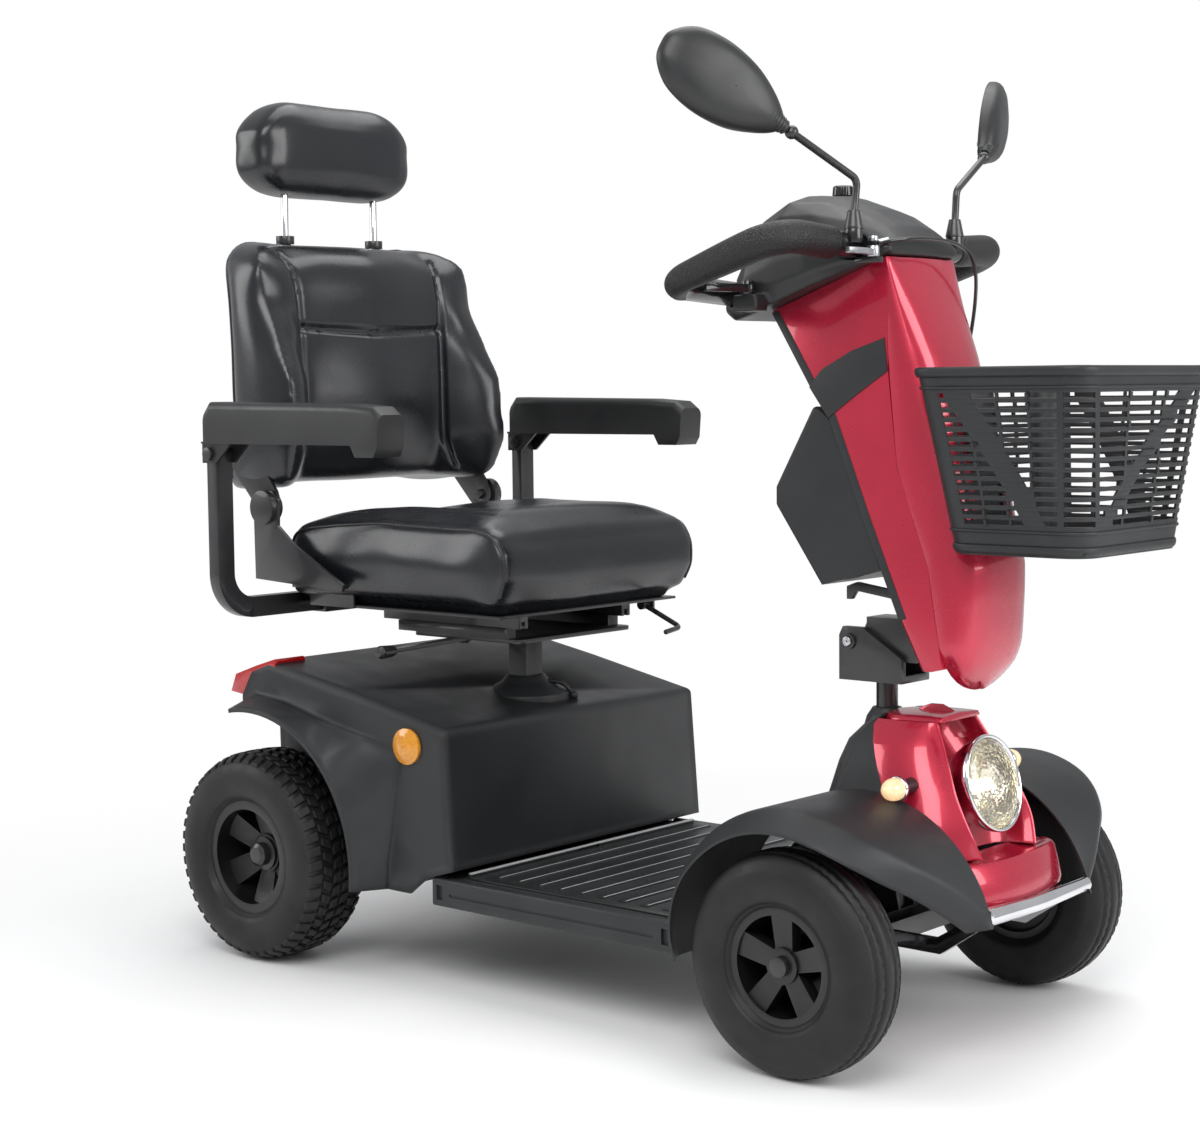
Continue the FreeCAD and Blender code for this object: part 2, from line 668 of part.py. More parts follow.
def column_shell():
    outer = column_solid(COLUMN_HALF, 0)
    outer = soften(outer, 8, lambda e: abs(abs(e.CenterOfMass.y) - COLUMN_HALF) < 1
                   and e.CenterOfMass.x < 470 and abs(e.tangentAt(e.FirstParameter).z) > 0.5
                   and not (e.CenterOfMass.x > 440))
    ends = prism_xz([(400, 400), (600, 400), (600, 506), (400, 506)], -90, 90)
    inner = column_solid(COLUMN_HALF - 3, 3)
    shell = outer.cut(inner).cut(box(180, 470, -80, 80, 985, 1080))
    return max(shell.cut(ends).Solids, key=lambda s: s.Volume)


def column_nose():
    front = [
        (530, 512), (508.3, 644), (460.3, 775), (446.3, 902), (444.3, 1052),
        (458, 1020), (498, 922), (574, 635), (570, 592), (564, 512), (552, 480), (540, 480),
    ]
    body = prism_xz(front, -COLUMN_HALF, COLUMN_HALF)

    def leading(e):
        mid = e.CenterOfMass
        return abs(abs(mid.y) - COLUMN_HALF) < 1 and (mid.x > 572 or (mid.z > 630 and mid.x > 500) or mid.x > 560)

    body = soften(body, 14, leading)
    inner = prism_xz([(500, 660), (452, 790), (449, 900), (449, 1000), (490, 918), (566, 636), (560, 560), (520, 560)],
                     -76, 76)
    return body.cut(inner)


def column_back_cover():
    outline = [(323, 859), (258, 745), (258, 720), (334, 612), (432, 637), (406, 703), (351, 839.5)]
    case = prism_xz(outline, -80, 80)
    case = soften(case, 8, lambda e: along_y(e) and e.CenterOfMass.x < 330)
    case = soften(case, 6, lambda e: not along_y(e) and e.CenterOfMass.x < 345 and abs(e.CenterOfMass.y) > 70)
    inner = prism_xz([(322, 850), (264, 744), (264, 722), (336, 617), (440, 640), (352, 845)], -76, 76)
    case = case.cut(inner).cut(column_solid(COLUMN_HALF, 0))
    band = prism_xz([(441, 946), (390, 930), (340, 905), (320, 882), (351, 840), (398, 872), (446, 902)], 83, 85)
    return Part.Compound([max(case.Solids, key=lambda s: s.Volume), band, mirror(band)])


def head_section(x, low, high, half, tip):
    """Closed smooth section of the control head in the plane x."""
    rise = high - low
    right = [
        (half * 0.90, low), (half, low + rise * 0.14), (half, low + rise * 0.36), (half * 0.95, low + rise * 0.56),
        (half * 0.82, low + rise * 0.77), (half * 0.62, low + rise * 0.91), (half * tip * 0.6, low + rise * 0.985),
    ]
    pts = [(x, 0, low)] + [(x, y, z) for y, z in right] + [(x, 0, high)]
    pts += [(x, -y, z) for y, z in reversed(right)]
    return pts


def console_head(bars, mast):
    rows = [
        (186, 982, 1022, 96, 0.5), (205, 974, 1052, 110, 0.5), (235, 980, 1122, 119, 0.45),
        (280, 996, 1147, 120, 0.42), (335, 1015, 1142, 120, 0.42), (390, 1034, 1122, 112, 0.45),
        (428, 1048, 1098, 95, 0.5), (450, 1057, 1078, 84, 0.5),
    ]
    body = skin([head_section(*row) for row in rows])
    hollow_rows = [(x, low + 4, high - 5, half - 6, tip) for x, low, high, half, tip in rows[2:6]]
    body = body.cut(skin([head_section(*row) for row in hollow_rows]))
    block = box(232, 272, -142, -112, 985, 1008)
    pin = cyl((252, -131, 1008), (0, 0, 1), 4, 22)
    boss = cyl((290, 40, 1110), (0, 0, 1), 18, 38)
    whole = fuse([max(body.Solids, key=lambda s: s.Volume), block, pin, boss])
    whole = whole.cut(cyl((290, 40, 1125), (0, 0, 1), 4 + FIT, 40))
    return whole.cut(bars).cut(mast)


def handlebar():
    loops = []
    for s in (1, -1):
        points = [(404, s * 84, 1066), (402, s * 266, 1077), (220, s * 266, 1018), (204, s * 84, 1010)]
        loops.append(tube(points, 17, 46))
    for s in (1, -1):
        loops.append(cyl((420, s * 124, 1070), (0, 0, 1), 12, 18))
    whole = Part.Compound([fuse([loops[0], loops[2]]), fuse([loops[1], loops[3]])])
    for s in (1, -1):
        whole = whole.cut(cyl((420, s * 124, 1077), (0, 0, 1), 5 + FIT, 20))
    return whole


def basket_wire(z, inset):
    t = (z - BASKET_FLOOR_Z) / (BASKET_RIM_Z - BASKET_FLOOR_Z)
    back = 566 - 31 * t + inset
    front = 763 + 22 * t - inset
    half = 130 + 45 * t - inset
    return round_rect(back, front, -half, half, 34 - inset, z)


def basket_slots():
    tools = []
    for row in range(14):
        z = 704 + 12.2 * row
        t = (z - BASKET_FLOOR_Z) / (BASKET_RIM_Z - BASKET_FLOOR_Z)
        half = 130 + 45 * t
        back = 566 - 31 * t
        front = 763 + 22 * t
        for k in range(3):
            x0 = back + 36 + k * (front - back - 72) / 3.0 + 3
            x1 = back + 36 + (k + 1) * (front - back - 72) / 3.0 - 3
            tools.append(box(x0, x1, -half - 20, half + 20, z, z + 7))
        for k in range(4):
            y0 = -half + 36 + k * (half * 2 - 72) / 4.0 + 3
            y1 = -half + 36 + (k + 1) * (half * 2 - 72) / 4.0 - 3
            tools.append(box(back - 20, front + 20, y0, y1, z, z + 7))
    return Part.Compound(tools)


def basket():
    outer = Part.makeLoft([basket_wire(BASKET_FLOOR_Z, 0), basket_wire(BASKET_RIM_Z, 0)], True, True)
    inner = Part.makeLoft([basket_wire(BASKET_FLOOR_Z + 3, 3), basket_wire(BASKET_RIM_Z + 1, 3)], True, True)
    rim_out = Part.makeLoft([basket_wire(BASKET_RIM_Z - 8, -4), basket_wire(BASKET_RIM_Z, -4)], True, True)
    whole = outer.fuse(rim_out).cut(inner)
    holes = []
    for x in range(610, 740, 26):
        for y in range(-100, 101, 25):
            holes.append(box(x - 8, x + 8, y - 8, y + 8, BASKET_FLOOR_Z - 2, BASKET_FLOOR_Z + 4))
    return whole.cut(basket_slots()).cut(Part.Compound(holes))


def basket_bracket():
    """Wedge between the column nose and the back wall of the basket."""
    front_line = [(498.3, 922), (574.3, 635)]
    slope = (front_line[1][0] - front_line[0][0]) / (front_line[1][1] - front_line[0][1])
    nose_hi = 498.3 + slope * (886 - 922)
    nose_lo = 498.3 + slope * (690 - 922)
    back_hi = 566 - 31 * (886 - BASKET_FLOOR_Z) / (BASKET_RIM_Z - BASKET_FLOOR_Z)
    back_lo = 566 - 31 * (690 - BASKET_FLOOR_Z) / (BASKET_RIM_Z - BASKET_FLOOR_Z)
    top = max(back_lo, nose_lo + 3)
    return prism_xz([(nose_hi, 886), (back_hi, 886), (top, 690), (nose_lo, 690)], -30, 30)


CABLE = [
    (448, -103.5, 1069.2), (470, -84, 1076), (470, 40, 1078), (474, 92, 1056),
    (474, 92, 985), (464, 85.6, 925),
]
CABLE_BENDS = [14, 60, 24, 60]


def brake_cable():
    return tube(CABLE, 2.5, CABLE_BENDS)


def brake_lever():
    hub = cyl((437, -103.5, 1052), (0, 0, 1), 8.5, 14)
    arm = prism_xy([(432, -108), (442, -108), (449, -140), (447, -172), (440, -172), (440, -138)], 1054, 1062)
    return fuse([hub, arm]).cut(cyl((437, -103.5, 1040), (0, 0, 1), 4 + FIT, 40))


def brake_clamp(bars, head):
    low = box(412, 448, -110, -97, 1044, 1051.7)
    top = box(412, 445.5, -110, -97, 1066.3, 1072)
    pin = cyl((437, -103.5, 1044), (0, 0, 1), 4, 26)
    return fuse([low, top, pin]).cut(bars).cut(head)


def throttle_lever():
    hub = cyl((252, -131, 1008.3), (0, 0, 1), 9, 18)
    arm = prism_xy([(246, -136), (258, -136), (252, -192), (247, -216), (242, -216), (242, -192)], 1011, 1022)
    return fuse([hub, arm]).cut(cyl((252, -131, 1000), (0, 0, 1), 4 + FIT, 40))


def tilt_lever():
    hub = cyl((434, -36, 598), (0, 1, 0), 9, 17.6)
    arm = prism_xz([(434, 592), (434, 604), (362, 614), (346, 608), (346, 590), (354, 590), (362, 602)], -34, -26)
    return fuse([hub, arm]).cut(cyl((434, -50, 598), (0, 1, 0), 4 + FIT, 60))


def speed_dial():
    knob = spin_z([(0, 1148.3), (15, 1148.3), (14, 1160), (12, 1162), (0, 1162)], 290, 40)
    stem = cyl((290, 40, 1130), (0, 0, 1), 4, 19)
    grips = [box(303, 308, 39, 41, 1148, 1163)]
    for k in range(12):
        g = grips[0].copy()
        g.rotate(V(290, 40, 0), V(0, 0, 1), 30 * k)
        knob = knob.cut(g)
    return fuse([knob, stem])


# ---- mirrors ------------------------------------------------------------------------------
MIRROR_NECK = V(400, 234, 1206)
MIRROR_DIR = V(-70, 164, 102).normalize()


def mirror_arm():
    stud = cyl((420, 124, 1078), (0, 0, 1), 5, 12)
    boot = cone((420, 124, 1088.3), (0, 0, 1), 13, 8, 24)
    n = MIRROR_NECK
    rod = tube([(420, 124, 1100), (424, 122, 1152), (n.x, n.y, n.z)], 5, 14)
    ball = Part.makeSphere(9.0, n)
    tip = Part.makeCylinder(4.0, 40.0, n, MIRROR_DIR)
    return fuse([stud, boot, rod, ball, tip])


def mirror_head():
    """Teardrop housing; local x runs along the head, local z is its forward side."""
    outline = [
        (-90, 0), (-86, 11), (-60, 30), (-20, 46), (30, 51), (74, 42), (100, 20), (105, 0),
        (100, -22), (74, -43), (30, -51), (-20, -45), (-60, -28), (-86, -11),
    ]
    rows = [(-7, 0.96), (-3, 1.0), (8, 0.97), (17, 0.80), (22, 0.52)]
    body = skin([[(a * k, b * k, z) for a, b in outline] for z, k in rows])
    glass = face([(a * 0.9, b * 0.88, -8) for a, b in outline])
    body = body.cut(glass.extrude(V(0, 0, 2)))
    sleeve = cyl((-94, 0, 4), (1, 0, 0), 8, 36)
    body = body.fuse(sleeve).cut(cyl((-110, 0, 4), (1, 0, 0), 4 + FIT, 47))
    forward = V(164, 70, 0).normalize()
    up = forward.cross(MIRROR_DIR)
    centre = MIRROR_NECK + MIRROR_DIR * 105 - forward * 4
    m = FreeCAD.Matrix(
        MIRROR_DIR.x, up.x, forward.x, centre.x,
        MIRROR_DIR.y, up.y, forward.y, centre.y,
        MIRROR_DIR.z, up.z, forward.z, centre.z,
        0, 0, 0, 1,
    )
    return body.transformGeometry(m)


# ---- seat ---------------------------------------------------------------------------------
def seat_swivel_plate():
    spigot = cyl((POST_X, 0, 440), (0, 0, 1), 12, 62)
    housing = cyl((POST_X, 0, 486.4), (0, 0, 1), 25, 15)
    plate = soften(box(-410, -180, -132, 132, 500, 506), 14, along_z)
    parts = [spigot, housing, plate]
    for s in (1, -1):
        parts.append(box(-440, -210, s * 120 - 12, s * 120 + 12, 506, 522))
        parts.append(box(-440, -210, s * 120 - 4, s * 120 + 4, 522, 532))
    parts.append(cyl((-380, -45, 481), (0, 0, 1), 4, 20))
    parts.append(cyl((-380, -45, 481), (0, 0, 1), 8, 3))
    return fuse(parts)


def swivel_lever():
    hub = cyl((-380, -45, 484.3), (0, 0, 1), 11, 15.4)
    bar = prism_xy([(-392, -45), (-368, -45), (-340, -238), (-352, -240)], 486, 492)
    knob = spin_y([(-268, 0), (-268, 7), (-262, 10), (-240, 9), (-234, 7), (-234, 0)], -345, 489)
    return fuse([hub, bar, knob]).cut(cyl((-380, -45, 470), (0, 0, 1), 4 + FIT, 40))


def recline_plate():
    outline = [
        (-640, 586), (-440, 575), (-436, 586), (-478, 606), (-547, 642), (-586, 672),
        (-584, 712), (-598, 726), (-628, 726), (-642, 708),
    ]
    return prism_xz(outline, 246, 252)


def seat_frame():
    parts = [box(-590, -150, -205, 205, 545, 549), box(-627, -590, -150, 150, 527, 565)]
    parts.append(box(-620, -600, -246, -150, 565 - 20, 565 - 4))
    parts.append(box(-620, -600, 150, 246, 545, 561))
    for s in (1, -1):
        slot = box(-475, -183, s * 120 - 10, s * 120 + 10, 522.3, 545)
        parts.append(slot.cut(box(-480, -180, s * 120 - 4.1, s * 120 + 4.1, 520, 532.4)))
        plate = recline_plate()
        cap = cyl((RECLINE_X, 252, RECLINE_Z), (0, 1, 0), 27, 10)
        pin = cyl((RECLINE_X, 228, RECLINE_Z), (0, 1, 0), 8, 24)
        strut = box(-560, -460, 205, 246, 576, 582)
        riser = box(-560, -460, 205, 209, 545, 582)
        shelf = box(-560, -460, 200, 209, 545, 549)
        side = fuse([plate, cap, pin, strut, riser, shelf])
        parts.append(side if s > 0 else mirror(side))
    parts.append(box(-205, -181, 186, 190, 528, 546))
    parts.append(cyl((-193, 168, 535), (0, 1, 0), 4, 18))
    whole = fuse(parts)
    bore = box(-621.05, -598.95, -290, 290, 529.95, 562.05)
    return whole.cut(bore)


def arm_post():
    bend = blade([(ARM_X, 40, 546), (ARM_X, ARM_Y, 546), (ARM_X, ARM_Y, ARM_Z)], 11, 16, 55, (1, 0, 0))
    top = cyl((ARM_X, ARM_Y - 16, ARM_Z), (0, 1, 0), 11, 32)
    bolt = cyl((ARM_X, ARM_Y - 26, ARM_Z), (0, 1, 0), 6, 52)
    heads = [cyl((ARM_X, ARM_Y + d, ARM_Z), (0, 1, 0), 10, 5) for d in (-26, 21)]
    return fuse([bend, top, bolt] + heads)


def armpad():
    outline = [
        (-616, 804), (-616, 856), (-606, 868), (-300, 864), (-242, 860), (-226, 848),
        (-230, 800), (-238, 787), (-276, 787), (-286, 804),
    ]
    pad = prism_xz(outline, 318, 372)
    pad = soften(pad, 12, lambda e: not along_y(e) and e.CenterOfMass.z > 845)
    plates = []
    for y in (ARM_Y - 20.6, ARM_Y + 16.6):
        plates.append(prism_xz([(-626, 774), (-594, 774), (-560, 804), (-626, 804)], y, y + 4))
    deck = box(-626, -300, 322, 368, 804, 807)
    brackets = fuse(plates + [deck]).cut(cyl((ARM_X, 300, ARM_Z), (0, 1, 0), 6 + FIT, 100))
    return Part.Compound([pad.cut(brackets), brackets])


def slide_lever():
    hub = cyl((-193, 169, 535), (0, 1, 0), 8, 16.6)
    wire = tube([(-190, 176, 534), (-117, 176, 503), (-108, 128, 500)], 4, 14)
    return fuse([hub, wire]).cut(cyl((-193, 160, 535), (0, 1, 0), 4 + FIT, 40))


def seat_cushion(frame):
    outline = [
        (-600, 562), (-600, 655), (-580, 674), (-480, 686), (-394, 692), (-300, 690),
        (-180, 686), (-136, 674), (-117, 640), (-118, 600), (-140, 562),
    ]
    pad = prism_xz(outline, -228, 228)
    pad = soften(pad, 16, lambda e: not along_y(e) and e.CenterOfMass.z > 565)
    board = box(-586, -152, -200, 200, 549, 562)
    cushion = fuse([pad, board]).cut(frame)
    return max(cushion.Solids, key=lambda s: s.Volume)


def backrest_section(z, half, bolster, front):
    right = [(-741, half - 50), (-728, half - 12), (-690, half), (-626, half), (bolster + 8, half - 12)]
    right += [(bolster, half - 34), (front - 8, half - 84)]
    left = [(x, -y) for x, y in reversed(right)]
    return [(x, y, z) for x, y in right + [(front, 0)] + left]


def backrest_pad(inner):
    rows = [
        (722, 238, -600, -640), (740, 243, -572, -634), (800, 243, -549, -630), (900, 243, -560, -630),
        (980, 243, -596, -632), (1040, 243, -626, -636), (1100, 243, -640, -650), (1135, 243, -664, -676),
    ]
    pad = skin([backrest_section(*row) for row in rows])
    outline = box(-800, -500, -243, 243, 700, 1135)
    outline = soften(outline, 70, lambda e: along_x(e) and e.CenterOfMass.z > 1100)
    pad = pad.common(outline).cut(inner)
    for s in (1, -1):
        pad = pad.cut(cyl((-726, s * 100, 930), (0, 0, 1), 6 + FIT, 260))
    return max(pad.Solids, key=lambda s: s.Volume)


def backrest_frame():
    parts = [box(-731, -725, -242, 242, 790, 850)]
    for s in (1, -1):
        outline = [(-634, 686), (-600, 676), (-590, 700), (-600, 726), (-650, 790), (-725, 850), (-731, 850), (-731, 790)]
        y = sorted((s * 236, s * 242))
        arm = prism_xz(outline, y[0], y[1]).fuse(cyl((RECLINE_X, y[0], RECLINE_Z), (0, 1, 0), 22, 6))
        parts.append(arm)
        parts.append(box(-731, -725, s * 100 - 10, s * 100 + 10, 790, 960))
        parts.append(cyl((-726, s * 100, 940), (0, 0, 1), 9, 186))
        parts.append(cyl((-726, s * 100, 1125), (0, 0, 1), 15, 13))
    whole = fuse(parts)
    for s in (1, -1):
        whole = whole.cut(cyl((-726, s * 100, 930), (0, 0, 1), 6 + FIT, 260))
        whole = whole.cut(cyl((RECLINE_X, s * 240 - 10, RECLINE_Z), (0, 1, 0), 8 + FIT, 20))
    return whole


def headrest_posts():
    return both(cyl((-726, 100, 1010), (0, 0, 1), 6, 215))


def headrest_section(y, grow):
    """Rounded section of the headrest across the pad."""
    pts = []
    for k in range(20):
        a = math.pi * (2 * k + 1) / 20.0
        c = math.cos(a)
        d = math.sin(a)
        x = -738 + 46 * grow * math.copysign(abs(c) ** 0.55, c)
        z = 1280.5 + 77.5 * grow * math.copysign(abs(d) ** 0.45, d)
        pts.append((x, y, z))
    return pts


def headrest_pad(posts):
    rows = [(-168, 0.66), (-164, 0.80), (-152, 0.92), (-130, 1.0), (130, 1.0), (152, 0.92), (164, 0.80), (168, 0.66)]
    return skin([headrest_section(y, grow) for y, grow in rows]).cut(posts)


# ---- every node ---------------------------------------------------------------------------
def save_frame():
    hull = hull_outer()
    hood = hood_shell()
    save("chassis_frame", chassis_frame())
    save("seat_post", seat_post())
    save("post_cover", post_cover(hull))
    shroud = rear_shroud(hull)
    save("rear_shroud", shroud)
    save("rear_lamps", rear_lamps(hull))
    save("side_reflectors", side_reflectors(shroud))
    save("batteries", both(battery()))
    save("transaxle", Part.Compound([transaxle(), both(hub_nut())]))
    save("motor_controller", motor_controller())
    save("floor_pan", floor_pan())
    save("floor_mat", Part.Compound([floor_mat(), floor_strips()]))
    save("side_sills", side_sills())
    save("front_fenders", both(front_fender()))
    save("front_cowl", Part.Compound([front_cowl(hood), nose_panel()]))
    save("cowl_back_cover", cowl_back_cover(hood))
    save("headlight_shell", headlight_shell())
    save("headlight_lens", headlight_lens())
    save("front_indicators", front_indicators(hood))
    save("bumper_bar", bumper_bar())
    save("front_axle_beam", front_axle_beam())


def save_wheels():
    wheels = [("rear", rear_tyre(), rear_rim()), ("front", front_tyre(), front_rim())]
    for place, tyre, rim in wheels:
        tyre = tyre.cut(rim)
        save(place + "_tyre_left", tyre)
        save(place + "_tyre_right", mirror(tyre))
        save(place + "_rim_left", rim)
        save(place + "_rim_right", mirror(rim))
    save("knuckle_left", knuckle())
    save("knuckle_right", mirror(knuckle()))
    save("track_rod", track_rod())
    save("steering_stem", steering_stem())


def save_tiller():
    mast = tiller_column()
    bars = handlebar()
    save("tiller_column", mast)
    save("column_shell", column_shell().cut(mast))
    save("column_nose", column_nose())
    save("column_back_cover", column_back_cover().cut(mast))
    head = console_head(bars, mast)
    save("console_head", head)
    save("handlebar", Part.Compound([bars, brake_clamp(bars, head)]))
    save("basket", Part.Compound([basket(), basket_bracket()]))
    save("brake_cable", brake_cable())
    save("brake_lever", brake_lever())
    save("throttle_lever", throttle_lever())
    save("tilt_lever", tilt_lever())
    save("speed_dial", speed_dial())
    save("mirror_arm_left", mirror_arm())
    save("mirror_arm_right", mirror(mirror_arm()))
    save("mirror_head_left", mirror_head())
    save("mirror_head_right", mirror(mirror_head()))


def save_seat():
    inner = backrest_frame()
    posts = headrest_posts()
    save("seat_swivel_plate", seat_swivel_plate())
    save("swivel_lever", swivel_lever())
    frame = seat_frame()
    save("seat_frame", frame)
    save("slide_lever", slide_lever())
    save("seat_cushion", seat_cushion(frame))
    save("arm_posts", both(arm_post()))
    save("armpad_left", armpad())
    save("armpad_right", mirror(armpad()))
    save("backrest_frame", inner)
    save("backrest_pad", backrest_pad(inner))
    save("headrest_posts", posts)
    save("headrest_pad", headrest_pad(posts))


save_frame()
save_wheels()
save_tiller()
save_seat()
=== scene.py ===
import bpy
import bmesh
import json
import math
import numpy as np
from mathutils import Matrix, Vector


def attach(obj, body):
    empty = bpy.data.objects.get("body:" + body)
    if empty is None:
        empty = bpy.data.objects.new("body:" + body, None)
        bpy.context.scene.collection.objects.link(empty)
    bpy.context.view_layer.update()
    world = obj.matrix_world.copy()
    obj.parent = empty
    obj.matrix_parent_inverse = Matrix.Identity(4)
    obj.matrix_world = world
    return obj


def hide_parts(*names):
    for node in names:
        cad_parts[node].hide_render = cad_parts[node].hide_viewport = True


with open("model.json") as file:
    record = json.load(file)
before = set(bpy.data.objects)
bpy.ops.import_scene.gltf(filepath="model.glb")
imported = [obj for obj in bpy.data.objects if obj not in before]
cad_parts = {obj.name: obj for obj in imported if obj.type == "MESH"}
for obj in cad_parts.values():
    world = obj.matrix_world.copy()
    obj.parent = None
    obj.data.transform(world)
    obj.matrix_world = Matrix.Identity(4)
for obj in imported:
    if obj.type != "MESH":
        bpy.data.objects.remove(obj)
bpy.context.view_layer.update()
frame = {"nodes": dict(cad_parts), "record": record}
NODES = frame["nodes"]

# Wheel centres: (x, z) of the axles, and how far out the left wheels stand.
FRONT_AXLE, FRONT_WHEEL_Y = (0.44, 0.148), 0.29
REAR_AXLE, REAR_WHEEL_Y = (-0.56, 0.163), 0.299
# Sign of y and name of each side.
SIDES = ((1, "left"), (-1, "right"))


# ---- materials ----
def shader(name):
    m = bpy.data.materials.new(name)
    m.use_nodes = True
    nt = m.node_tree
    bsdf = nt.nodes["Principled BSDF"]
    coord = nt.nodes.new("ShaderNodeTexCoord")
    return m, nt, bsdf, coord.outputs["Object"]


def set_inputs(node, **values):
    """Sets inputs by name; an underscore stands for a space."""
    for key, value in values.items():
        node.inputs[key.replace("_", " ")].default_value = value
    return node


def noise_node(nt, vec, scale, detail=3.0):
    n = set_inputs(nt.nodes.new("ShaderNodeTexNoise"), Scale=scale, Detail=detail, Roughness=0.5)
    nt.links.new(vec, n.inputs["Vector"])
    return n.outputs["Fac"]


def cell_node(nt, vec, scale):
    n = set_inputs(nt.nodes.new("ShaderNodeTexVoronoi"), Scale=scale)
    nt.links.new(vec, n.inputs["Vector"])
    return n.outputs["Distance"]


def remap(nt, fac, a, b, c, d):
    n = set_inputs(nt.nodes.new("ShaderNodeMapRange"), From_Min=a, From_Max=b, To_Min=c, To_Max=d)
    nt.links.new(fac, n.inputs["Value"])
    return n.outputs["Result"]


def tint(nt, fac, dark, light):
    n = nt.nodes.new("ShaderNodeMix")
    n.data_type = "RGBA"
    n.inputs["A"].default_value = (*dark, 1)
    n.inputs["B"].default_value = (*light, 1)
    nt.links.new(fac, n.inputs["Factor"])
    return n.outputs["Result"]


def bump(nt, bsdf, height, strength, distance):
    n = set_inputs(nt.nodes.new("ShaderNodeBump"), Strength=strength, Distance=distance)
    nt.links.new(height, n.inputs["Height"])
    nt.links.new(n.outputs["Normal"], bsdf.inputs["Normal"])


def surface(name, dark, light, rough, metallic=0.0, coat=0.0, coat_rough=0.05, vary=9.0,
            grain=0.0, grain_scale=900.0, depth=0.0004, cells=False, spec=0.5, soften=0.0):
    """Colour and gloss that drift a little over the surface, with a fine grain and softened edges."""
    m, nt, bsdf, vec = shader(name)
    drift = remap(nt, noise_node(nt, vec, vary, 4.0), 0.3, 0.7, 0.0, 1.0)
    nt.links.new(tint(nt, drift, dark, light), bsdf.inputs["Base Color"])
    nt.links.new(remap(nt, noise_node(nt, vec, vary * 3.1, 5.0), 0.25, 0.75, rough[0], rough[1]),
                 bsdf.inputs["Roughness"])
    set_inputs(bsdf, Metallic=metallic, Coat_Weight=coat, Coat_Roughness=coat_rough,
               Specular_IOR_Level=spec)
    if grain:
        source = cell_node(nt, vec, grain_scale) if cells else noise_node(nt, vec, grain_scale, 2.0)
        bump(nt, bsdf, source, grain, depth)
    if soften:
        edge = set_inputs(nt.nodes.new("ShaderNodeBevel"), Radius=soften)
        edge.samples = 8
        nt.links.new(edge.outputs["Normal"], nt.nodes["Bump"].inputs["Normal"])
    return m


def glassy(name, colour, rough, clear, glow=0.0, glow_colour=(1, 1, 1)):
    """Lens plastic: tinted transmission with fine prisms behind the surface."""
    m, nt, bsdf, vec = shader(name)
    shade = tint(nt, cell_node(nt, vec, 260.0), [c * 0.7 for c in colour], colour)
    nt.links.new(shade, bsdf.inputs["Base Color"])
    gloss = remap(nt, noise_node(nt, vec, 40.0), 0.2, 0.8, rough, rough + 0.06)
    nt.links.new(gloss, bsdf.inputs["Roughness"])
    set_inputs(bsdf, Transmission_Weight=clear, IOR=1.49, Coat_Weight=0.6, Coat_Roughness=0.04)
    if glow:
        set_inputs(bsdf, Emission_Color=(*glow_colour, 1), Emission_Strength=glow)
    bump(nt, bsdf, cell_node(nt, vec, 230.0), 0.25, 0.0006)
    return m


RED = surface("red_paint", (0.4, 0.006, 0.03), (0.52, 0.012, 0.045), (0.24, 0.32), metallic=0.45, coat=0.8,
              vary=5.0, grain=0.12, grain_scale=2600.0, depth=0.0001, cells=True)
PLASTIC = surface("dark_plastic", (0.013, 0.0138, 0.0148), (0.021, 0.022, 0.0235), (0.4, 0.52), vary=7.0,
                  grain=0.55, grain_scale=1100.0, depth=0.0003, spec=0.42)
SHROUD = surface("shroud_plastic", (0.012, 0.0128, 0.014), (0.02, 0.021, 0.0228), (0.34, 0.46), vary=5.0,
                 grain=0.45, grain_scale=1100.0, depth=0.0003, spec=0.42, soften=0.016)
SHELL = surface("shell_plastic", (0.01, 0.0105, 0.011), (0.018, 0.0185, 0.0195), (0.34, 0.46), grain=0.45,
                depth=0.0003)
GLOSS = surface("black_gloss", (0.005, 0.005, 0.0055), (0.009, 0.009, 0.01), (0.14, 0.26), coat=0.4,
                vary=8.0)
RIM = surface("rim_black", (0.005, 0.005, 0.0055), (0.01, 0.01, 0.011), (0.28, 0.42), vary=12.0, grain=0.2)
VINYL = surface("seat_vinyl", (0.0055, 0.0062, 0.008), (0.0105, 0.0115, 0.0145), (0.24, 0.31), vary=4.0,
                grain=0.25, depth=0.0002, cells=True, coat=0.2, coat_rough=0.2)
PIPING = surface("piping", (0.01, 0.01, 0.013), (0.018, 0.018, 0.022), (0.25, 0.35), vary=20.0, grain=0.3)
STEEL_BLACK = surface("frame_steel", (0.012, 0.012, 0.013), (0.022, 0.022, 0.024), (0.28, 0.4), vary=12.0,
                      coat=0.3, grain=0.2, grain_scale=700.0)
STEEL = surface("bright_steel", (0.42, 0.43, 0.45), (0.6, 0.61, 0.63), (0.24, 0.38), metallic=1.0, vary=30.0,
                grain=0.2)
# Colour of the bright edging in front of the shroud, also used for the painted highlights on the mat's ribs
TRIM_AND_GLINT = surface("trim_strip", (0.46, 0.47, 0.48), (0.62, 0.63, 0.64), (0.32, 0.48), metallic=0.3, vary=20.0)
CHROME = surface("chrome_trim", (0.7, 0.7, 0.72), (0.84, 0.84, 0.86), (0.06, 0.14), metallic=1.0, vary=14.0)
TYRE = surface("tyre_rubber", (0.007, 0.007, 0.0075), (0.015, 0.015, 0.016), (0.42, 0.6), vary=12.0,
               grain=0.5, grain_scale=500.0, depth=0.0005, spec=0.34)
GRIP = surface("grip_rubber", (0.006, 0.006, 0.0065), (0.012, 0.012, 0.013), (0.36, 0.5), vary=10.0,
               grain=0.9, grain_scale=420.0, depth=0.001, cells=True, spec=0.4)
MAT = surface("mat_rubber", (0.009, 0.0095, 0.01), (0.018, 0.019, 0.02), (0.26, 0.4), vary=8.0, grain=0.6,
              grain_scale=700.0, depth=0.0005)
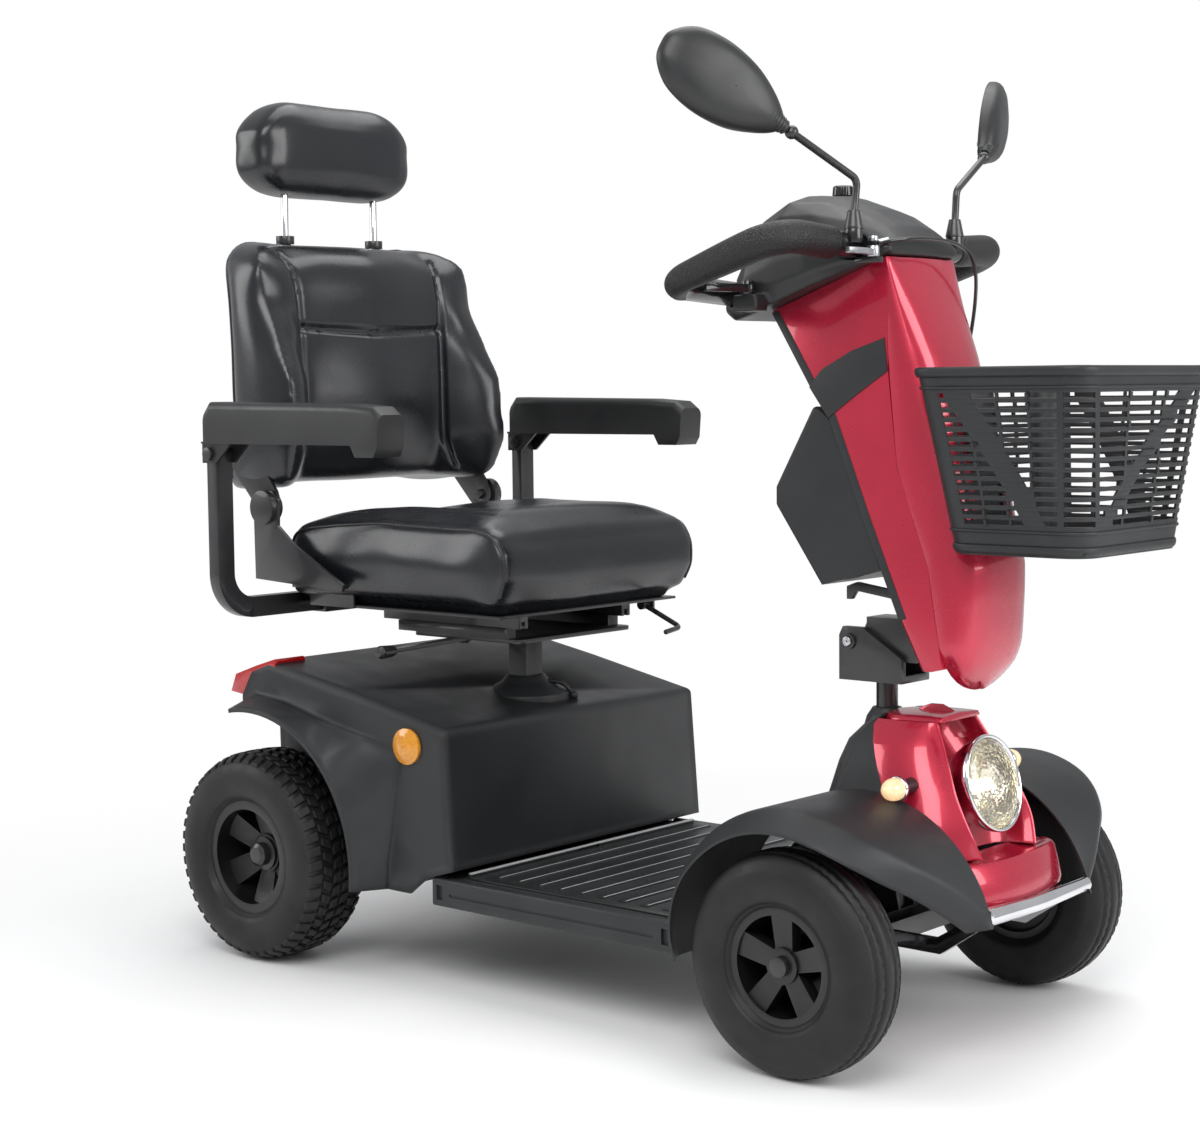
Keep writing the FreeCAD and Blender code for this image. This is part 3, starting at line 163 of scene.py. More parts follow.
ALLOY = surface("alloy", (0.4, 0.41, 0.42), (0.58, 0.59, 0.61), (0.3, 0.45), metallic=1.0, vary=16.0,
                grain=0.3, grain_scale=700.0)
CASE = surface("grey_case", (0.13, 0.135, 0.14), (0.19, 0.195, 0.2), (0.4, 0.55), grain=0.3)
RED_LENS = glassy("red_lens", (0.55, 0.006, 0.008), 0.1, 0.15)
AMBER = glassy("amber_lens", (0.9, 0.36, 0.02), 0.1, 0.2)
WARM = glassy("indicator_lens", (1.0, 0.8, 0.55), 0.06, 0.5, glow=0.35, glow_colour=(1.0, 0.72, 0.4))
CLEAR = glassy("clear_lens", (0.92, 0.9, 0.84), 0.05, 0.7)
REFLECTOR = surface("reflector", (0.86, 0.8, 0.62), (0.98, 0.95, 0.84), (0.08, 0.2), metallic=1.0,
                    vary=60.0, grain=0.7, grain_scale=170.0, depth=0.0015, cells=True)
BULB = glassy("bulb", (1.0, 0.92, 0.7), 0.1, 0.3, glow=1.4, glow_colour=(1.0, 0.86, 0.58))
LAMP_GLASS = glassy("lamp_glass", (0.99, 0.98, 0.94), 0.02, 0.96)
MIRROR = surface("mirror_glass", (0.8, 0.82, 0.84), (0.86, 0.88, 0.9), (0.02, 0.05), metallic=1.0, vary=3.0)

BY_SLOT = {
    "red_paint": RED, "dark_plastic": PLASTIC, "black_gloss": GLOSS, "seat_vinyl": VINYL,
    "frame_steel": STEEL_BLACK, "bright_steel": STEEL, "chrome_trim": CHROME, "tyre_rubber": TYRE,
    "mat_rubber": MAT, "alloy": ALLOY, "red_lens": RED_LENS, "amber_lens": AMBER, "clear_lens": CLEAR,
    "grey_case": CASE,
}


# Width of the rounded edges of the nodes, and the nodes whose edges are rounder or that look
# different from the rest of their slot.
HARD_EDGE = 0.0012
SOFT_EDGE = {"armpad_left": 0.007, "armpad_right": 0.007, "rear_shroud": 0.003, "rear_lamps": 0.004,
             "column_back_cover": 0.004, "cowl_back_cover": 0.003}
LOOKS = {
    "mirror_head_left": SHELL, "mirror_head_right": SHELL, "console_head": SHELL, "front_indicators": WARM,
    "rear_shroud": SHROUD, "transaxle": STEEL_BLACK, "tilt_lever": STEEL_BLACK, "slide_lever": STEEL_BLACK,
    "swivel_lever": STEEL_BLACK, "armpad_left": SHELL, "armpad_right": SHELL,
    "front_rim_left": RIM, "front_rim_right": RIM, "rear_rim_left": RIM, "rear_rim_right": RIM,
}


# ---- finish of pieces and nodes ----
def crisp_form(obj, width, angle, split=40.0, segments=2):
    """Small rounded edges, and smooth shading between the edges sharper than split."""
    bevel = obj.modifiers.new("bevel", "BEVEL")
    bevel.width = width
    bevel.segments = segments
    bevel.limit_method = "ANGLE"
    bevel.angle_limit = math.radians(angle)
    sharp = obj.modifiers.new("split", "EDGE_SPLIT")
    sharp.split_angle = math.radians(split)


def crisp(obj, width, segments):
    """The same on a node, whose faces don't share their corners yet."""
    for p in obj.data.polygons:
        p.use_smooth = True
    weld = obj.modifiers.new("weld", "WELD")
    weld.merge_threshold = 0.00002
    crisp_form(obj, width, 32.0, 38.0, segments)


def paint(obj, material):
    obj.data.materials.clear()
    obj.data.materials.append(material)


def add(name, data):
    obj = bpy.data.objects.new(name, data)
    bpy.context.scene.collection.objects.link(obj)
    return obj


def fit(obj, body, node=None):
    """Attaches a piece to its body, and hides the node that it stands for, if there is one."""
    if node:
        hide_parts(node)
    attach(obj, body)


def thicken(obj, thickness, offset=-1.0):
    solid = obj.modifiers.new("solid", "SOLIDIFY")
    solid.thickness = thickness
    solid.offset = offset


def edit_mesh(obj, change):
    bm = bmesh.new()
    bm.from_mesh(obj.data)
    change(bm)
    bm.to_mesh(obj.data)
    bm.free()


def metres(points):
    """Points given in millimetres, in metres."""
    return [tuple(c / 1000.0 for c in p) for p in points]


def dress_frame():
    for sub in frame["record"]["subparts"]:
        node = sub["node"]
        paint(NODES[node], BY_SLOT[sub["material_slot"]])
        crisp(NODES[node], SOFT_EDGE.get(node, HARD_EDGE), 4 if node in SOFT_EDGE else 2)
    for node, material in LOOKS.items():
        paint(NODES[node], material)


# ---- mesh helpers ----
def mesh_object(name, verts, faces, material, smooth=True):
    me = bpy.data.meshes.new(name)
    me.from_pydata([tuple(v) for v in verts], [], faces)
    me.validate()
    me.update()
    obj = add(name, me)
    edit_mesh(obj, lambda bm: bmesh.ops.recalc_face_normals(bm, faces=bm.faces))
    for p in me.polygons:
        p.use_smooth = smooth
    paint(obj, material)
    return obj


def grid_skin(name, rows, material, caps=True, closed=True):
    """Skin over rows of points, closed around or open; every row has the same count."""
    n = len(rows[0])
    faces = []
    for i in range(len(rows) - 1):
        for j in range(n if closed else n - 1):
            k = (j + 1) % n
            faces.append((i * n + j, i * n + k, (i + 1) * n + k, (i + 1) * n + j))
    if caps:
        faces.append(tuple(range(n - 1, -1, -1)))
        faces.append(tuple((len(rows) - 1) * n + j for j in range(n)))
    return mesh_object(name, [p for row in rows for p in row], faces, material)


BOX = [(0, 1, 2, 3), (7, 6, 5, 4), (0, 4, 5, 1), (1, 5, 6, 2), (2, 6, 7, 3), (3, 7, 4, 0)]


def ring(centre, u, w, radius, count):
    """Circle of points about centre in the plane of u and w."""
    turns = [2 * math.pi * k / count for k in range(count)]
    return [centre + u * (radius * math.cos(a)) + w * (radius * math.sin(a)) for a in turns]


def twin(obj, name):
    copy = obj.copy()
    copy.data = obj.data.copy()
    copy.name = name
    bpy.context.scene.collection.objects.link(copy)
    return copy


def flip_y(bm):
    for v in bm.verts:
        v.co.y = -v.co.y
    bmesh.ops.reverse_faces(bm, faces=bm.faces)


def mirrored(obj, name):
    copy = twin(obj, name)
    edit_mesh(copy, flip_y)
    return copy


def fit_pair(left, body, node=None):
    """Fits a left piece and its mirror image; body and node come without their side."""
    right = mirrored(left, left.name.replace("_left", "_right"))
    for obj, side in ((left, "left"), (right, "right")):
        fit(obj, body + side, node and node + side)


# ---- camera, light and floor ----
def set_camera():
    yaw, pitch, roll = math.radians(40.84), math.radians(4.5), math.radians(-0.59)
    f = Vector((-math.sin(yaw) * math.cos(pitch), math.cos(yaw) * math.cos(pitch), -math.sin(pitch)))
    r = Vector((math.cos(yaw), math.sin(yaw), 0.0))
    u = r.cross(f)
    right = r * math.cos(roll) + u * math.sin(roll)
    up = -r * math.sin(roll) + u * math.cos(roll)
    cam = bpy.data.cameras.new("camera")
    cam.sensor_width = 36.0
    cam.sensor_fit = "HORIZONTAL"
    cam.lens = 66.84
    cam.clip_start = 0.05
    cam.clip_end = 60.0
    obj = add("camera", cam)
    obj.matrix_world = Matrix((
        (right.x, up.x, -f.x, 2.09),
        (right.y, up.y, -f.y, -2.571),
        (right.z, up.z, -f.z, 0.886),
        (0, 0, 0, 1),
    ))
    bpy.context.scene.camera = obj


def area(name, place, target, size, power):
    light = bpy.data.lights.new(name, "AREA")
    light.shape = "RECTANGLE"
    light.size = size
    light.size_y = size
    light.energy = power
    obj = add(name, light)
    obj.location = place
    obj.rotation_mode = "QUATERNION"
    obj.rotation_quaternion = (Vector(target) - Vector(place)).to_track_quat("-Z", "Y")


def white_backdrop():
    """Soft grey light from all round, and plain white where the camera sees past the floor."""
    world = bpy.data.worlds.new("studio")
    world.use_nodes = True
    bpy.context.scene.world = world
    nt = world.node_tree
    back = set_inputs(nt.nodes["Background"], Color=(0.93, 0.94, 0.96, 1), Strength=0.55)
    white = set_inputs(nt.nodes.new("ShaderNodeBackground"), Color=(1, 1, 1, 1), Strength=1.0)
    path = nt.nodes.new("ShaderNodeLightPath")
    mix = nt.nodes.new("ShaderNodeMixShader")
    nt.links.new(path.outputs["Is Camera Ray"], mix.inputs["Fac"])
    nt.links.new(back.outputs["Background"], mix.inputs[1])
    nt.links.new(white.outputs["Background"], mix.inputs[2])
    nt.links.new(mix.outputs["Shader"], nt.nodes["World Output"].inputs["Surface"])


def floor_material():
    """White floor that turns into the plain backdrop away from the object."""
    material = surface("floor", (0.86, 0.86, 0.86), (0.9, 0.9, 0.9), (0.6, 0.7), vary=1.0)
    nt = material.node_tree
    reach = nt.nodes.new("ShaderNodeVectorMath")
    reach.operation = "LENGTH"
    nt.links.new(nt.nodes.new("ShaderNodeNewGeometry").outputs["Position"], reach.inputs[0])
    ray = nt.nodes.new("ShaderNodeLightPath")
    far = nt.nodes.new("ShaderNodeMath")
    far.operation = "MULTIPLY"
    nt.links.new(remap(nt, reach.outputs["Value"], 0.85, 1.9, 0.0, 1.0), far.inputs[0])
    nt.links.new(ray.outputs["Is Camera Ray"], far.inputs[1])
    glow = nt.nodes.new("ShaderNodeEmission")
    blend = nt.nodes.new("ShaderNodeMixShader")
    nt.links.new(far.outputs["Value"], blend.inputs["Fac"])
    nt.links.new(nt.nodes["Principled BSDF"].outputs["BSDF"], blend.inputs[1])
    nt.links.new(glow.outputs["Emission"], blend.inputs[2])
    nt.links.new(blend.outputs["Shader"], nt.nodes["Material Output"].inputs["Surface"])
    return material


def set_studio():
    bpy.context.scene.view_settings.view_transform = "Standard"
    white_backdrop()
    area("key", (1.6, -2.6, 3.2), (0.0, 0.0, 0.6), 2.4, 95.0)
    area("front", (3.6, 0.6, 1.9), (0.2, 0.0, 0.6), 2.2, 75.0)
    area("left_fill", (-3.4, -2.4, 2.2), (-0.3, 0.0, 0.6), 2.0, 45.0)
    area("top", (-0.2, 0.8, 3.6), (0.0, 0.0, 0.6), 2.6, 55.0)
    corners = [(-9, -9, 0), (9, -9, 0), (9, 9, 0), (-9, 9, 0)]
    mesh_object("floor", corners, [(0, 1, 2, 3)], floor_material())


# ---- soft goods ----
def rounded_copy(node, name, voxel, rounds):
    """Even, softened mesh of a node, a little smaller than the node."""
    copy = add(name + "_start", NODES[node].data.copy())
    copy.data.materials.clear()
    remesh = copy.modifiers.new("remesh", "REMESH")
    remesh.mode = "VOXEL"
    remesh.voxel_size = voxel
    ease = copy.modifiers.new("ease", "SMOOTH")
    ease.factor = 0.5
    ease.iterations = rounds
    shaped = copy.evaluated_get(bpy.context.evaluated_depsgraph_get())
    out = add(name, bpy.data.meshes.new_from_object(shaped))
    out.data.name = name
    bpy.data.objects.remove(copy)
    for p in out.data.polygons:
        p.use_smooth = True
    return out


def inflate(obj, cap, pressure):
    """Cloth under pressure for twenty frames; no point moves further than the cap."""
    scene = bpy.context.scene
    start = [v.co.copy() for v in obj.data.vertices]
    cloth = obj.modifiers.new("cloth", "CLOTH")
    st = cloth.settings
    st.use_pressure = True
    st.uniform_pressure_force = pressure
    st.effector_weights.gravity = 0.0
    st.quality = 4
    st.mass = 0.3
    st.tension_stiffness = 12.0
    st.compression_stiffness = 12.0
    st.bending_stiffness = 0.6
    cloth.point_cache.frame_start = 1
    cloth.point_cache.frame_end = 20
    for f in range(1, 21):
        scene.frame_set(f)
    dg = bpy.context.evaluated_depsgraph_get()
    shaped = obj.evaluated_get(dg)
    moved = [v.co.copy() for v in shaped.data.vertices]
    obj.modifiers.remove(cloth)
    scene.frame_set(1)
    push = [b - a for a, b in zip(start, moved)]
    push = [d * (cap / d.length) if d.length > cap else d for d in push]
    for v, a, d in zip(obj.data.vertices, start, evened(obj, push, 60)):
        v.co = a + d


def evened(obj, push, rounds):
    """Spreads each point's move over its neighbours, so that stuffed foam has no small creases."""
    ends = np.array([e.vertices[:] for e in obj.data.edges])
    move = np.array([tuple(d) for d in push])
    links = np.bincount(ends.ravel(), minlength=len(move))[:, None]
    for _ in range(rounds):
        total = np.zeros_like(move)
        for k in range(3):
            total[:, k] += np.bincount(ends[:, 0], weights=move[ends[:, 1], k], minlength=len(move))
            total[:, k] += np.bincount(ends[:, 1], weights=move[ends[:, 0], k], minlength=len(move))
        move = 0.5 * move + 0.5 * total / np.maximum(links, 1)
    return [Vector(d) for d in move]


def segment_gap(p, a, b):
    ab = b - a
    t = max(0.0, min(1.0, (p - a).dot(ab) / ab.length_squared))
    return (p - (a + ab * t)).length


def press_seam(obj, path, width, depth, facing):
    """Sinks the surface along a polyline, as a stitched seam does."""
    pts = [Vector(p) for p in path]
    lo = Vector([min(p[i] for p in pts) - width for i in range(3)])
    hi = Vector([max(p[i] for p in pts) + width for i in range(3)])
    obj.data.update()
    normals = [v.normal.copy() for v in obj.data.vertices]
    for v, n in zip(obj.data.vertices, normals):
        c = v.co
        if any(c[i] < lo[i] or c[i] > hi[i] for i in range(3)):
            continue
        if n.dot(facing) < 0.15:
            continue
        gap = min(segment_gap(c, pts[i], pts[i + 1]) for i in range(len(pts) - 1))
        if gap < width:
            k = 1.0 - gap / width
            v.co = c - n * (depth * k * k * (3 - 2 * k))


def snap(obj, points, lift=0.0):
    """Points moved to the nearest place on the surface."""
    out = []
    for p in points:
        hit, place, normal, _ = obj.closest_point_on_mesh(Vector(p))
        out.append(place + normal * lift if hit else Vector(p))
    return out


def resample(points, step):
    pts = [Vector(p) for p in points]
    out = [pts[0]]
    for a, b in zip(pts, pts[1:]):
        n = max(1, int((b - a).length / step))
        out += [a.lerp(b, k / n) for k in range(1, n + 1)]
    return out


def eased(points, rounds=2, cyclic=False):
    """Chaikin rounding of a polyline."""
    pts = [Vector(p) for p in points]
    for _ in range(rounds):
        out = [] if cyclic else [pts[0]]
        pairs = list(zip(pts, pts[1:] + ([pts[0]] if cyclic else [])))
        for a, b in pairs:
            out.append(a.lerp(b, 0.25))
            out.append(a.lerp(b, 0.75))
        if not cyclic:
            out.append(pts[-1])
        pts = out
    return pts


def soft_piece(name, node, body, voxel, rounds, cap, seams, shape, pressure=4.0):
    """Cover stuffed with foam in place of a node, pressed in along its seams."""
    obj = rounded_copy(node, name, voxel, rounds)
    inflate(obj, cap, pressure)
    for v in obj.data.vertices:
        v.co = shape(v.co)
    bpy.context.view_layer.update()
    for path, width, depth, facing in seams:
        press_seam(obj, snap(obj, path), width, depth, facing)
    sub = obj.modifiers.new("sub", "SUBSURF")
    sub.levels = 1
    sub.render_levels = 1
    paint(obj, VINYL)
    fit(obj, body, node)
    return obj


def swell(p, centre, size, amount):
    """Share of a smooth bump at p."""
    d = sum(((p[i] - centre[i]) / size[i]) ** 2 for i in range(3))
    return amount * (1 - d) ** 2 if d < 1 else 0.0


def back_shape(p):
    if p.x < -0.7:
        return p
    push = swell(p, (-0.62, 0, 0.875), (0.16, 0.165, 0.125), 0.016)
    push += swell(p, (-0.63, 0, 1.055), (0.16, 0.165, 0.085), 0.01)
    return Vector((p.x + push, p.y, p.z))


def seat_shape(p):
    if p.z < 0.66:
        return p
    dip = swell(p, (-0.4, 0, 0.69), (0.2, 0.17, 0.12), 0.012)
    lift = swell(p, (-0.2, 0, 0.69), (0.12, 0.26, 0.1), 0.006)
    return Vector((p.x, p.y, p.z - dip + lift))


def head_shape(p):
    over = max(0.0, (abs(p.y) - 0.085) / 0.083)
    high = (p.z - 1.2805) / 0.0775
    if high > 0:
        return Vector((p.x, p.y, p.z - 0.04 * over * over * high))
    return Vector((p.x, p.y, p.z - 0.02 * over * over * high))


def make_seat():
    front = Vector((1, 0, 0))
    up = Vector((0, 0, 1))
    back_seams = []
    for s in (1, -1):
        line = [(-0.6, s * 0.158, 0.735), (-0.62, s * 0.158, 0.8), (-0.62, s * 0.156, 0.96),
                (-0.63, s * 0.16, 1.04), (-0.64, s * 0.164, 1.125)]
        back_seams.append((resample(line, 0.01), 0.0085, 0.0075, front))
    back_seams.append((resample([(-0.625, -0.156, 0.985), (-0.618, 0, 0.978), (-0.625, 0.156, 0.985)], 0.01),
                       0.009, 0.009, front))
    seat_seams = [(resample([(-0.5, s * 0.165, 0.7), (-0.2, s * 0.17, 0.7)], 0.01), 0.009, 0.004, up)
                  for s in (1, -1)]
    back = soft_piece("backrest_soft", "backrest_pad", "backrest", 0.0055, 44, 0.014, back_seams, back_shape)
    seat = soft_piece("cushion_soft", "seat_cushion", "seat", 0.0055, 18, 0.012, seat_seams, seat_shape)
    soft_piece("headrest_soft", "headrest_pad", "headrest", 0.0045, 16, 0.006, (), head_shape, 3.0)
    for s, side in SIDES:
        edge = [(-0.735, s * 0.243, 0.74), (-0.735, s * 0.243, 1.06), (-0.73, s * 0.2, 1.12),
                (-0.73, 0, 1.135)]
        piping("back_piping_" + side, back, edge, 0.0026, "backrest")
        top = [(-0.595, s * 0.228, 0.64), (-0.575, s * 0.226, 0.668), (-0.48, s * 0.224, 0.682),
               (-0.394, s * 0.224, 0.688), (-0.3, s * 0.224, 0.686), (-0.18, s * 0.222, 0.68),
               (-0.135, s * 0.221, 0.66), (-0.122, s * 0.22, 0.62), (-0.135, s * 0.22, 0.575)]
        piping("seat_piping_" + side, seat, top, 0.0024, "seat")


def tube(name, kind, points, radius, sides, material):
    """Round line on a curve; returns the object and its spline."""
    curve = bpy.data.curves.new(name, "CURVE")
    curve.dimensions = "3D"
    curve.bevel_depth = radius
    curve.bevel_resolution = sides
    curve.use_fill_caps = True
    spline = curve.splines.new(kind)
    spline.points.add(len(points) - 1)
    for point, place in zip(spline.points, points):
        point.co = (*place, 1)
    obj = add(name, curve)
    paint(obj, material)
    return obj, spline


def piping(name, cover, points, radius, body):
    """Sewn edge along a cover, on points near its surface."""
    bpy.context.view_layer.update()
    path = eased(snap(cover, resample(eased(points), 0.012), radius * 0.2), 1)
    obj, spline = tube(name, "POLY", path, radius, 3, PIPING)
    spline.use_smooth = True
    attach(obj, body)


# ---- tyres ----
def turned(name, profile, axle, material, steps=96, shape=None):
    """Surface of revolution about an axle, from (y, r) pairs, displaced by shape(y, r, turn) if given."""
    n = len(profile)
    verts, faces = [], []
    for i in range(steps):
        a = 2 * math.pi * i / steps
        start, following = i * n, (i + 1) % steps * n
        for j, (y, r) in enumerate(profile):
            rr = r + (shape(y, r, i / steps) if shape else 0.0)
            verts.append((axle[0] + rr * math.sin(a), y, axle[1] + rr * math.cos(a)))
            k = (j + 1) % n
            faces.append((start + j, start + k, following + k, following + j))
    return mesh_object(name, verts, faces, material)


FRONT_TYRE = [
    (-0.034, 0.076), (-0.0365, 0.081), (-0.0385, 0.083), (-0.0405, 0.0835), (-0.0425, 0.09),
    (-0.044, 0.1), (-0.044, 0.112), (-0.0425, 0.1235), (-0.0415, 0.1255), (-0.039, 0.1315),
    (-0.0355, 0.1375),
    (-0.0315, 0.1417), (-0.027, 0.1445), (-0.0262, 0.14), (-0.0228, 0.14), (-0.022, 0.1458),
    (-0.013, 0.1474), (-0.0122, 0.142), (-0.0088, 0.142), (-0.008, 0.1478), (0.0, 0.148),
]


def both_ways(half):
    return half + [(-y, r) for y, r in reversed(half[:-1])]


def front_tyres():
    profile = [(FRONT_WHEEL_Y + y, r) for y, r in both_ways(FRONT_TYRE)]

    def sipes(y, r, turn):
        """Short cuts across the outer ribs, half a step apart on the two sides."""
        across = y - FRONT_WHEEL_Y
        if r < 0.143 or abs(across) <= 0.012:
            return 0.0
        phase = (turn * 60 + (0.5 if across > 0 else 0.0)) % 1.0
        return -0.0012 if phase < 0.12 else 0.0

    tyre = turned("front_tyre_form_left", profile, FRONT_AXLE, TYRE, 240, sipes)
    fit_pair(tyre, "front_wheel_", "front_tyre_")


REAR_TYRE = [
    (-0.049, 0.086), (-0.053, 0.092), (-0.056, 0.094), (-0.0585, 0.096), (-0.061, 0.103), (-0.064, 0.116),
    (-0.0635, 0.128), (-0.0605, 0.139), (-0.0565, 0.146), (-0.052, 0.1505), (-0.045, 0.1535),
    (-0.035, 0.1555), (-0.02, 0.1568), (0.0, 0.1572),
]


def carcass(y):
    """Radius of the rear tyre under the tread at a distance y from its middle."""
    for (y0, r0), (y1, r1) in zip(REAR_TYRE, REAR_TYRE[1:]):
        if r0 > 0.13 and -y0 >= abs(y) >= -y1:
            return r0 + (r1 - r0) * (abs(y) + y0) / (y0 - y1)
    return REAR_TYRE[-1][1]


# Tread blocks of the rear tyre: (from, to) across, half their length and their skew in radians,
# and their shift around in half steps.
LUGS = [
    (0.0385, 0.056, 0.05, 0.012, 0.0), (0.02, 0.035, 0.046, -0.02, 1.0),
    (0.0025, 0.0165, 0.046, 0.02, 0.0),
]
LUG_COUNT = 46


def lug(y0, y1, turn, skew, half):
    """Tread block between two sides, its top following the crown."""
    x, z = REAR_AXLE
    pts = []
    for rise, grow in ((-0.004, 1.0), (0.0056, 0.84)):
        for y, t in ((y0, -1), (y1, 1)):
            for e in (-half * grow, half * grow):
                a = turn + e + skew * t
                r = carcass(y) + rise
                pts.append((x + r * math.sin(a), REAR_WHEEL_Y + y, z + r * math.cos(a)))
    faces = [(0, 1, 3, 2), (4, 6, 7, 5), (0, 4, 5, 1), (2, 3, 7, 6), (0, 2, 6, 4), (1, 5, 7, 3)]
    return pts, faces


def rear_lugs():
    verts, faces = [], []
    step = math.pi / LUG_COUNT
    for k in range(LUG_COUNT):
        for s in (1, -1):
            stagger = 0.5 if s > 0 else 0.0
            for y0, y1, half, skew, shift in LUGS:
                a, b = (y0, y1) if s > 0 else (-y0, -y1)
                pts, fs = lug(a, b, (2 * k + shift + stagger) * step, skew * s, half)
                base = len(verts)
                verts += pts
                faces += [tuple(base + i for i in f) for f in fs]
    blocks = mesh_object("rear_lugs_left", verts, faces, TYRE, smooth=False)
    bevel = blocks.modifiers.new("bevel", "BEVEL")
    bevel.width = 0.0015
    bevel.segments = 2
    return blocks


def rear_tyres():
    profile = [(REAR_WHEEL_Y + y, r) for y, r in both_ways(REAR_TYRE)]
    tyre = turned("rear_tyre_form_left", profile, REAR_AXLE, TYRE, 120)
    fit_pair(tyre, "rear_wheel_", "rear_tyre_")
    fit_pair(rear_lugs(), "rear_wheel_")


# ---- tiller ----
def table_at(rows, z):
    """Linear reading of rows (z, value, ...) sorted from high to low."""
    for a, b in zip(rows, rows[1:]):
        if a[0] >= z >= b[0]:
            t = (a[0] - z) / (a[0] - b[0])
            return [u + (v - u) * t for u, v in zip(a[1:], b[1:])]
    return list(rows[-1][1:]) if z < rows[-1][0] else list(rows[0][1:])


NOSE = [
    (1.055, 0.442, 0.446), (1.02, 0.444, 0.459), (0.922, 0.446, 0.498), (0.775, 0.46, 0.541),
    (0.69, 0.491, 0.563), (0.644, 0.508, 0.574), (0.61, 0.514, 0.573), (0.56, 0.522, 0.569),
    (0.51, 0.53, 0.563), (0.476, 0.534, 0.552),
]


def nose_section(z):
    seam, front = table_at(NOSE, z)
    half = 0.083
    if z < 0.545:
        k = (0.545 - z) / 0.069
        half = 0.083 * math.sqrt(max(0.0, 1 - k * k))
        front -= 0.012 * k * k
    deep = front - seam
    edge = min(0.02, half * 0.6)
    side = [
        (seam, half), (seam + deep * 0.35, half * 0.997), (front - deep * 0.42, half * 0.975),
        (front - min(0.022, deep * 0.3), half - edge * 0.28),
        (front - min(0.008, deep * 0.12), half - edge * 0.72),
        (front - 0.001, half - edge * 1.4), (front + 0.0015, half * 0.35),
    ]
    outline = side + [(front + 0.002, 0.0)] + [(x, -y) for x, y in reversed(side)]
    return [(x, y, z) for x, y in outline]


def column_nose_form():
    levels = [1.053 - 0.012 * k for k in range(43)]
    levels += [0.541, 0.532, 0.522, 0.511, 0.5, 0.49, 0.483, 0.479, 0.477]
    obj = grid_skin("column_nose_form", [nose_section(z) for z in levels], RED)
    crisp_form(obj, 0.0012, 40)
    fit(obj, "tiller", "column_nose")


# ---- mirrors ----
MIRROR_ALONG = Vector((-70, 164, 102)).normalized()
MIRROR_FORWARD = Vector((164, 70, 0)).normalized()
MIRROR_UP = MIRROR_FORWARD.cross(MIRROR_ALONG)
MIRROR_NECK = Vector((0.4, 0.234, 1.206))
MIRROR_CENTRE = MIRROR_NECK + MIRROR_ALONG * 0.105 - MIRROR_FORWARD * 0.004


def on_mirror(s, a, b, c):
    """Point a along, b up and c forward of a mirror's middle in mm; s is 1 left and -1 right."""
    p = MIRROR_CENTRE + (MIRROR_ALONG * a + MIRROR_UP * b + MIRROR_FORWARD * c) / 1000.0
    return (p.x, s * p.y, p.z)


def mirror_glasses():
    outline = [(-86, 0), (-82, 9), (-58, 26), (-20, 41), (29, 46), (70, 38), (94, 18), (98, 0),
               (94, -20), (70, -39), (29, -46), (-20, -40), (-58, -25), (-82, -9)]
    edge = eased([Vector((a, b, 0)) for a, b in outline], 3, cyclic=True)
    for s, side in SIDES:
        points = [on_mirror(s, p.x, p.y, -7.4) for p in edge]
        face = mesh_object("mirror_glass_" + side, points, [tuple(range(len(points)))], MIRROR)
        thicken(face, 0.001, 0.0)
        fit(face, "mirror_" + side)


# ---- basket ----
def basket_size(z):
    t = (z - 0.668) / 0.237
    return 0.566 - 0.031 * t, 0.763 + 0.022 * t, 0.13 + 0.045 * t


def basket_point(side, f, z, out=0.0):
    """Point on the wall; side 0 front, 1 left, 2 back, 3 right; f runs 0..1, past 1 is the corner arc."""
    back, front, half = basket_size(z)
    r = 0.034
    back, front, half, r = back - out, front + out, half + out, r + out
    centres = [(front - r, half - r), (back + r, half - r), (back + r, -half + r), (front - r, -half + r)]
    starts = [(front, -half + r), (front - r, half), (back, half - r), (back + r, -half)]
    ends = [(front, half - r), (back + r, half), (back, -half + r), (front - r, -half)]
    if f <= 1.0:
        a, b = starts[side], ends[side]
        return Vector((a[0] + (b[0] - a[0]) * f, a[1] + (b[1] - a[1]) * f, z))
    c = centres[side]
    ang = math.radians([0, 90, 180, 270][side] + 90.0 * (f - 1.0))
    return Vector((c[0] + r * math.cos(ang), c[1] + r * math.sin(ang), z))


def open_spans(side, z):
    """Open parts of a slot row along one wall at height z, as fractions."""
    spans = []
    t = (z - 0.7) / 0.17
    if side in (1, 3):
        mid = 0.78 - 0.62 * t if side == 3 else 0.22 + 0.62 * t
        bands = [(mid, 0.11), (0.5, 0.012), (0.25, 0.012), (0.75, 0.012)]
    elif side == 0:
        bands = [(0.07 + 0.8 * t, 0.075), (0.3, 0.012), (0.66, 0.012)]
    else:
        bands = [(0.2, 0.012), (0.4, 0.012), (0.6, 0.012), (0.8, 0.012), (0.0, 0.05), (1.0, 0.05)]
    bands = sorted((c - w, c + w) for c, w in bands)
    at = 0.02
    for a, b in bands:
        if a > at + 0.02:
            spans.append((at, a))
        at = max(at, b)
    if at < 0.96:
        spans.append((at, 0.98))
    return spans


def basket_strip(quads, side, low, high, z0, z1):
    """Quads of one wall between the span low at z0 and the span high at z1."""
    (f0, f1), (g0, g1) = low, high
    n = max(1, int((f1 - f0) * (8 if f1 > 1.0 else 10)))
    for k in range(n):
        a, b = f0 + (f1 - f0) * k / n, f0 + (f1 - f0) * (k + 1) / n
        c, d = g0 + (g1 - g0) * (k + 1) / n, g0 + (g1 - g0) * k / n
        quads.append((basket_point(side, a, z0), basket_point(side, b, z0),
                      basket_point(side, c, z1), basket_point(side, d, z1)))


